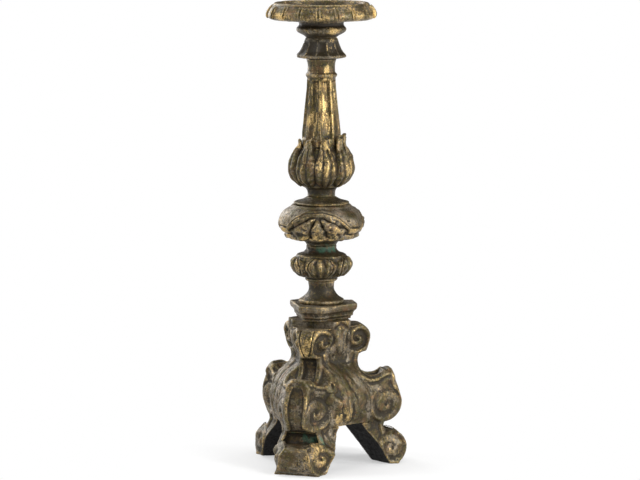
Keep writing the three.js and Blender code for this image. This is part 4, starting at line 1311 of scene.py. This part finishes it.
def carve_bulb(degrees, radius, height):
    off = off_centre(degrees + warped(degrees, radius, height, 21, 3.0), FIRST_PETAL, PETAL_STEP)
    share = np.clip((height - base - 10.5) / 12, 0, 1)
    spread = 0.25 + 0.75 * np.sqrt(share * (2 - share))
    spread = spread * (1 - 0.5 * smooth_step(height, base + 46, base + 70))
    aside = off / (180 / PETALS) / spread  # 0 on the midrib, 1 at the leaf's edge
    petal = np.clip(1 - aside**2, 0, 1) ** 0.5
    aside = np.abs(aside)
    ribs = 1.3 * hill(aside, 0.0, 0.36) + 0.8 * hill(aside, 0.58, 0.3) - 0.8 * hill(aside, 0.32, 0.24)
    veins = 0.2 * np.sin((height - 6 * aside) * 2 * math.pi / 7.5) * smooth_step(aside, 0.2, 0.5)
    raised = -5.2 + 5.6 * petal + (ribs + veins) * smooth_step(petal, 0.1, 0.6)
    raised = raised + warped(degrees, radius, height, 7, 0.9)
    return raised * smooth_step(height, base + 9, base + 14) * (radius > 26)  # the bore stays plain


bulb = Outline(base, 18.4).bend((16.9, 5), (20.2, 10.6)).bend((43.4, 21), (43.4, 37))
bulb.bend((41.4, 55), (31.5, 65)).line((30.0, 68.0)).close(68.2)
pieces["leaf_bulb"] = carved_round("leafy_bulb", bulb, carve_bulb, "rubbed_bronze")

# %% [markdown]
# The big knop has three arches over hanging foliage. Smooth shoulders run up to the arches, the leaves
# below fan out from a point under each arch and are cut deep, and a curled knob sits where two arches meet.

# %% The arched knop
base = foot_of("arched_knop")
KNOP_TURN = 13  # the middle of the first arch, in degrees


def carve_arches(degrees, radius, height):
    degrees = degrees + warped(degrees, radius, height, 15, 2.2)
    height = height + warped(degrees, radius, height, 12, 1.2)
    aside = off_centre(degrees, KNOP_TURN, 120)
    # The arch: a line over the foliage with a double rim above it.
    over = height - (base + 44.0 - 19 * (np.abs(aside) / 46) ** 2.6)
    below = smooth_step(-over, 0, 1.6)
    rim = 0.9 * hill(over, 1.6, 1.6) + 0.6 * hill(over, 5.0, 1.8) - 0.6 * hill(over, 3.3, 1.2)
    # The foliage: lobes round a point under the arch, each with a curled end.
    sideways, down = np.radians(aside) * 50, base + 47 - height
    turn, away = np.arctan2(sideways, down), np.hypot(sideways, down)
    lobe = np.abs(np.cos(turn * 4.6))
    leaf = 6.4 * lobe**0.6 * smooth_step(away, 4, 15) - 1.2 * hill(away, 27, 4) * lobe
    leaf = leaf + 1.4 * hill(away, 21 - 4 * lobe, 3) + warped(degrees, radius, height, 5.5, 1.8)
    eye = 3.0 * np.exp(-((away - 4) / 3.5) ** 2)
    raised = below * (-6.2 + leaf + eye) + (1 - below) * rim
    # Where two arches meet: a smooth shoulder, a knob and a curl, with nicks between them.
    gap, lift = (60 - np.abs(aside)) * 57 * math.pi / 180, height - base
    shoulder = np.exp(-((gap / 9.5) ** 4) - ((lift - 34) / 9.5) ** 4)
    knob = np.exp(-((gap / 8) ** 2) - ((lift - 21.5) / 4.6) ** 2)
    curl = np.exp(-((gap / 7) ** 2) - ((lift - 13) / 3.6) ** 2)
    nick = hill(lift, 26.5, 2.2) + hill(lift, 17.2, 2.0)
    near = np.exp(-((gap / 11) ** 4)) * smooth_step(base + 46, height, height + 3)
    raised = raised * (1 - near) + near * (1.6 * shoulder + 2.6 * knob + 2.2 * curl - 2.4 * nick - 1.2)
    # The two ends of the knop and its bore stay plain.
    raised = raised * smooth_step(height, base + 7.5, base + 10.5)
    raised = raised * smooth_step(base + 52, height, height + 3)
    return raised * (radius > 24)


knop = Outline(base, 19.8).line((20.2, 1.6)).bend((22.6, 7.8), (43, 8.8)).line((47, 10.4), (50, 18))
knop.bend((56.6, 22), (56.6, 27)).bend((55.6, 43), (42, 49.5)).line((38, 53.7)).close(53.7)
pieces["arched_knop"] = carved_round("arched_knop_carving", knop, carve_arches, "aged_bronze", turns=400)

# %% [markdown]
# The lower knop is a ring of five shells. Each has a rim, a second ridge inside it and upright ribs, which
# grow towards the top as those of a scallop do.

# %% The shell knop
base = foot_of("lower_knop")
SHELLS, SHELL_TURN = 5, 17  # SHELL_TURN is the middle of the first shell, in degrees


def carve_shells(degrees, radius, height):
    degrees = degrees + warped(degrees, radius, height, 14, 2.4)
    aside = off_centre(degrees, SHELL_TURN, 360 / SHELLS) / (180 / SHELLS)  # 1 between two shells
    lift = (height - base - 19) / 16  # -1 at the foot of a shell, 1 at its top
    petal = np.clip(1 - aside**2, 0, 1) ** 0.5
    reach = np.sqrt(np.clip(1 - lift**2, 0.05, 1))
    from_rim = 0.84 * reach - np.abs(aside)
    rims = 1.1 * hill(from_rim, 0.02, 0.13) + 0.8 * hill(from_rim, 0.22, 0.12)
    rims = rims - 0.7 * hill(from_rim, 0.12, 0.1)
    ribs = np.cos(aside * 2 * math.pi * 2.4) * smooth_step(from_rim, 0.22, 0.4)
    scoop = 0.9 * smooth_step(from_rim, 0.3, 0.6) * smooth_step(lift, 0, 0.8)
    ribs = ribs * (0.8 + 0.9 * smooth_step(lift, -0.2, 0.7)) - scoop
    raised = -5.0 + 4.8 * petal + rims + ribs + warped(degrees, radius, height, 5, 0.8)
    band_here = smooth_step(height, base + 4.5, base + 8) * smooth_step(base + 33, height, height + 2.5)
    return raised * band_here * (radius > 22)


shell = Outline(base, 20).line((21.6, 1.6), (21.8, 3.0), (20.4, 4.2)).bend((40.5, 9), (41, 22.5))
shell.bend((39.6, 31), (33, 32.4)).line((33.2, 34.2), (31.4, 35.2)).bend((21.4, 37), (19.6, 43))
shell.line((20, 47.2)).close(47.2)
pieces["lower_knop"] = carved_round("shell_knop", shell, carve_shells, "rubbed_bronze")

# %% [markdown]
# The abacus between the base and the waist is a three-sided slab with its corners cut off and a stepped
# moulding underneath. It is carved as a field, like the legs, because its corners are rubbed round.

# %% The abacus
base = foot_of("abacus")
# How far the moulding has stepped out at each height: 0 at the foot, 1 at the top plate.
MOULDING = heights_and((0, 0), (3.2, 0.02), (4.2, 0.3), (7.4, 0.34), (10, 0.5), (12.4, 0.86), (14, 0.92),
                       (14.8, 1), (20.3, 1))
FACE_IN, FACE_STEP, CORNER_IN, CORNER_STEP = 28.4, 7.4, 37.5, 8.0
ABACUS_TOP, SOFT_EDGE = 20.3, 1.6


def abacus_block(step=0.7):
    """A slab between three bulging faces and three cut corners, with a bore."""
    side, heights = np.arange(-56, 56.1, step), np.arange(base - 1.6, base + 22, step)
    x, y = np.meshgrid(side, side, indexing="ij")
    out = np.interp(heights - base, *MOULDING)
    field = np.full(x.shape + heights.shape, -99.0)
    for leg_turn, panel_turn in zip(LEG_TURNS, PANEL_TURNS):
        bulge = (sidewards(x, y, panel_turn)[..., None] / 36) ** 2
        face = outwards(x, y, panel_turn)[..., None] - (FACE_IN + FACE_STEP * out) - bulge
        corner = outwards(x, y, leg_turn)[..., None] - (CORNER_IN + CORNER_STEP * out)
        field = blend_max(blend_max(field, face, SOFT_EDGE), corner, SOFT_EDGE)
    field = blend_max(field, heights - base - ABACUS_TOP, SOFT_EDGE)
    field = blend_max(field, base - 0.3 - heights, 1.0)
    field = np.maximum(field, BORE - np.hypot(x, y)[..., None])
    return skin(field, np.array([side[0], side[0], heights[0]]), step)


pieces["abacus"] = new_piece("cut_abacus", *abacus_block())
pieces["abacus"].data.materials.append(FINISHES["aged_bronze"])
wear(pieces["abacus"], 1.2)

# %% [markdown]
# ## Hand the pieces over
# Every carved piece stands in for one CAD node, and rides with the stand as a whole, which has no moving
# parts. The rod, the nuts, the washers and the screws stay as the CAD model has them, in blacked steel,
# because they sit inside the hollows.

# %% Replace the CAD nodes
for piece in legs.values():
    piece.data.materials.append(LEG_FINISH)
body.data.materials.append(BODY_FINISH)
pieces.update(legs)
pieces["base_core"] = body
for node_name, piece in pieces.items():
    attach(piece, "root")
    if node_name in frame["nodes"]:
        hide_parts(node_name)

kept = [name for name in frame["nodes"] if name not in pieces]
for node_name in kept:
    steel_part = frame["nodes"][node_name].data
    steel_part.materials.clear()
    steel_part.materials.append(FINISHES["blacked_steel"])
print(len(pieces), "pieces;", len(kept), "CAD nodes kept in steel")

# %% [markdown]
# ## The camera of the photograph
# The stand was photographed from a little above and from the right of the front leg, far enough away that
# the lines of the column stay parallel. A long lens does the same here. The position was found by laying
# renders over the photograph until the rims, the knops and the feet fell on one another.

# %% Camera
scene = bpy.context.scene
VIEW_AZIMUTH, VIEW_DISTANCE, VIEW_HEIGHT, AIM_HEIGHT = math.radians(19), 4.4, 0.874, 0.297
LENS, SENSOR, SIDE_STEP = 189.6, 36, -0.0018
camera_data = bpy.data.cameras.new("camera")
camera_data.lens, camera_data.sensor_width, camera_data.clip_end = LENS, SENSOR, 100
camera = put_up("camera", camera_data)
towards = Vector((math.sin(VIEW_AZIMUTH), -math.cos(VIEW_AZIMUTH), 0))
aside = Vector((math.cos(VIEW_AZIMUTH), math.sin(VIEW_AZIMUTH), 0))
camera.location = towards * VIEW_DISTANCE + Vector((0, 0, VIEW_HEIGHT))
aim = aside * SIDE_STEP + Vector((0, 0, AIM_HEIGHT))
camera.rotation_euler = (aim - camera.location).to_track_quat("-Z", "Y").to_euler()
scene.camera = camera
print("camera at", [round(v, 2) for v in camera.location])

# %% [markdown]
# ## Studio light
# Bronze shows its form by what it reflects, so the room is dark and the lamps are large soft panels. The key
# stands well to the left, a narrow one to the right draws the streak down the column, two weaker ones light
# the right side and the left edge, and one above lights the rims. Only the camera sees the room as white.

# %% Light
world = bpy.data.worlds.new("studio")
scene.world = world
world.use_nodes = True
room = Tree(world.node_tree)
backdrop = world.node_tree.nodes["Background"]
to_camera = room.add("ShaderNodeLightPath", out="Is Camera Ray")
room.put(backdrop.inputs["Color"], (1, 1, 1, 1))
ROOM_LIGHT = 0.09
room.put(backdrop.inputs["Strength"], room.add("ShaderNodeMapRange", to_camera, 0.0, 1.0, ROOM_LIGHT, 1.0))


def softbox(name, place, size, power, target=(0, 0, 0.3)):
    """A soft panel of light at a place in metres, turned to the middle of the stand; power in watts."""
    lamp = bpy.data.lights.new(name, "AREA")
    lamp.shape, lamp.size, lamp.size_y, lamp.energy = "RECTANGLE", size[0], size[1], power
    panel = put_up(name, lamp)
    panel.location = place
    panel.rotation_euler = (Vector(target) - Vector(place)).to_track_quat("-Z", "Y").to_euler()


softbox("key", (-1.7, -0.8, 1.5), (0.6, 1.5), 33)
softbox("streak", (1.58, -0.87, 1.1), (0.28, 1.5), 33)
softbox("side", (1.75, 0.2, 0.9), (0.4, 1.2), 14)
softbox("edge", (-1.2, 0.9, 0.9), (0.6, 1.4), 15)
softbox("top", (0.1, 0.2, 2.2), (1.2, 1.2), 21)
print("lamps:", [lamp.name for lamp in bpy.data.lights])

# %% [markdown]
# ## The floor
# A plain pale floor takes the soft shadow under the feet. Away from the stand it turns into plain white for
# the camera, so that it has no edge against the background.

# %% Floor
HALF_FLOOR, NEAR_WHITE, WHITE_FROM, WHITE_AT = 8, 0.42, 0.05, 0.27
mesh = bpy.data.meshes.new("studio_floor")
corners = [(-HALF_FLOOR, -HALF_FLOOR, 0), (HALF_FLOOR, -HALF_FLOOR, 0), (HALF_FLOOR, HALF_FLOOR, 0),
           (-HALF_FLOOR, HALF_FLOOR, 0)]
mesh.from_pydata(corners, [], [(0, 1, 2, 3)])
ground = put_up("studio_floor", mesh)
f = Finish("studio_floor")
from_stand = f.add("ShaderNodeVectorMath", f.place, operation="LENGTH", out="Value")
white_share = f.sum(NEAR_WHITE, (f.ramp(from_stand, WHITE_FROM, WHITE_AT), 1 - NEAR_WHITE))
rays = f.tree.nodes.new("ShaderNodeLightPath").outputs
reflected = f.math("MAXIMUM", rays["Is Glossy Ray"], rays["Is Transmission Ray"])
seen = f.math("MAXIMUM", rays["Is Camera Ray"], reflected)
plain = f.add("ShaderNodeBsdfDiffuse", (0.8, 0.8, 0.8, 1))
white = f.add("ShaderNodeEmission", (1, 1, 1, 1))
blend = f.add("ShaderNodeMixShader", f.math("MULTIPLY", white_share, seen), plain, white)
f.put(f.tree.nodes["Material Output"].inputs["Surface"], blend)
mesh.materials.append(f.material)
print("floor", 2 * HALF_FLOOR, "m across")

# %% Finish
scene.view_settings.view_transform = "Standard"
print("colours are shown as", scene.view_settings.view_transform)
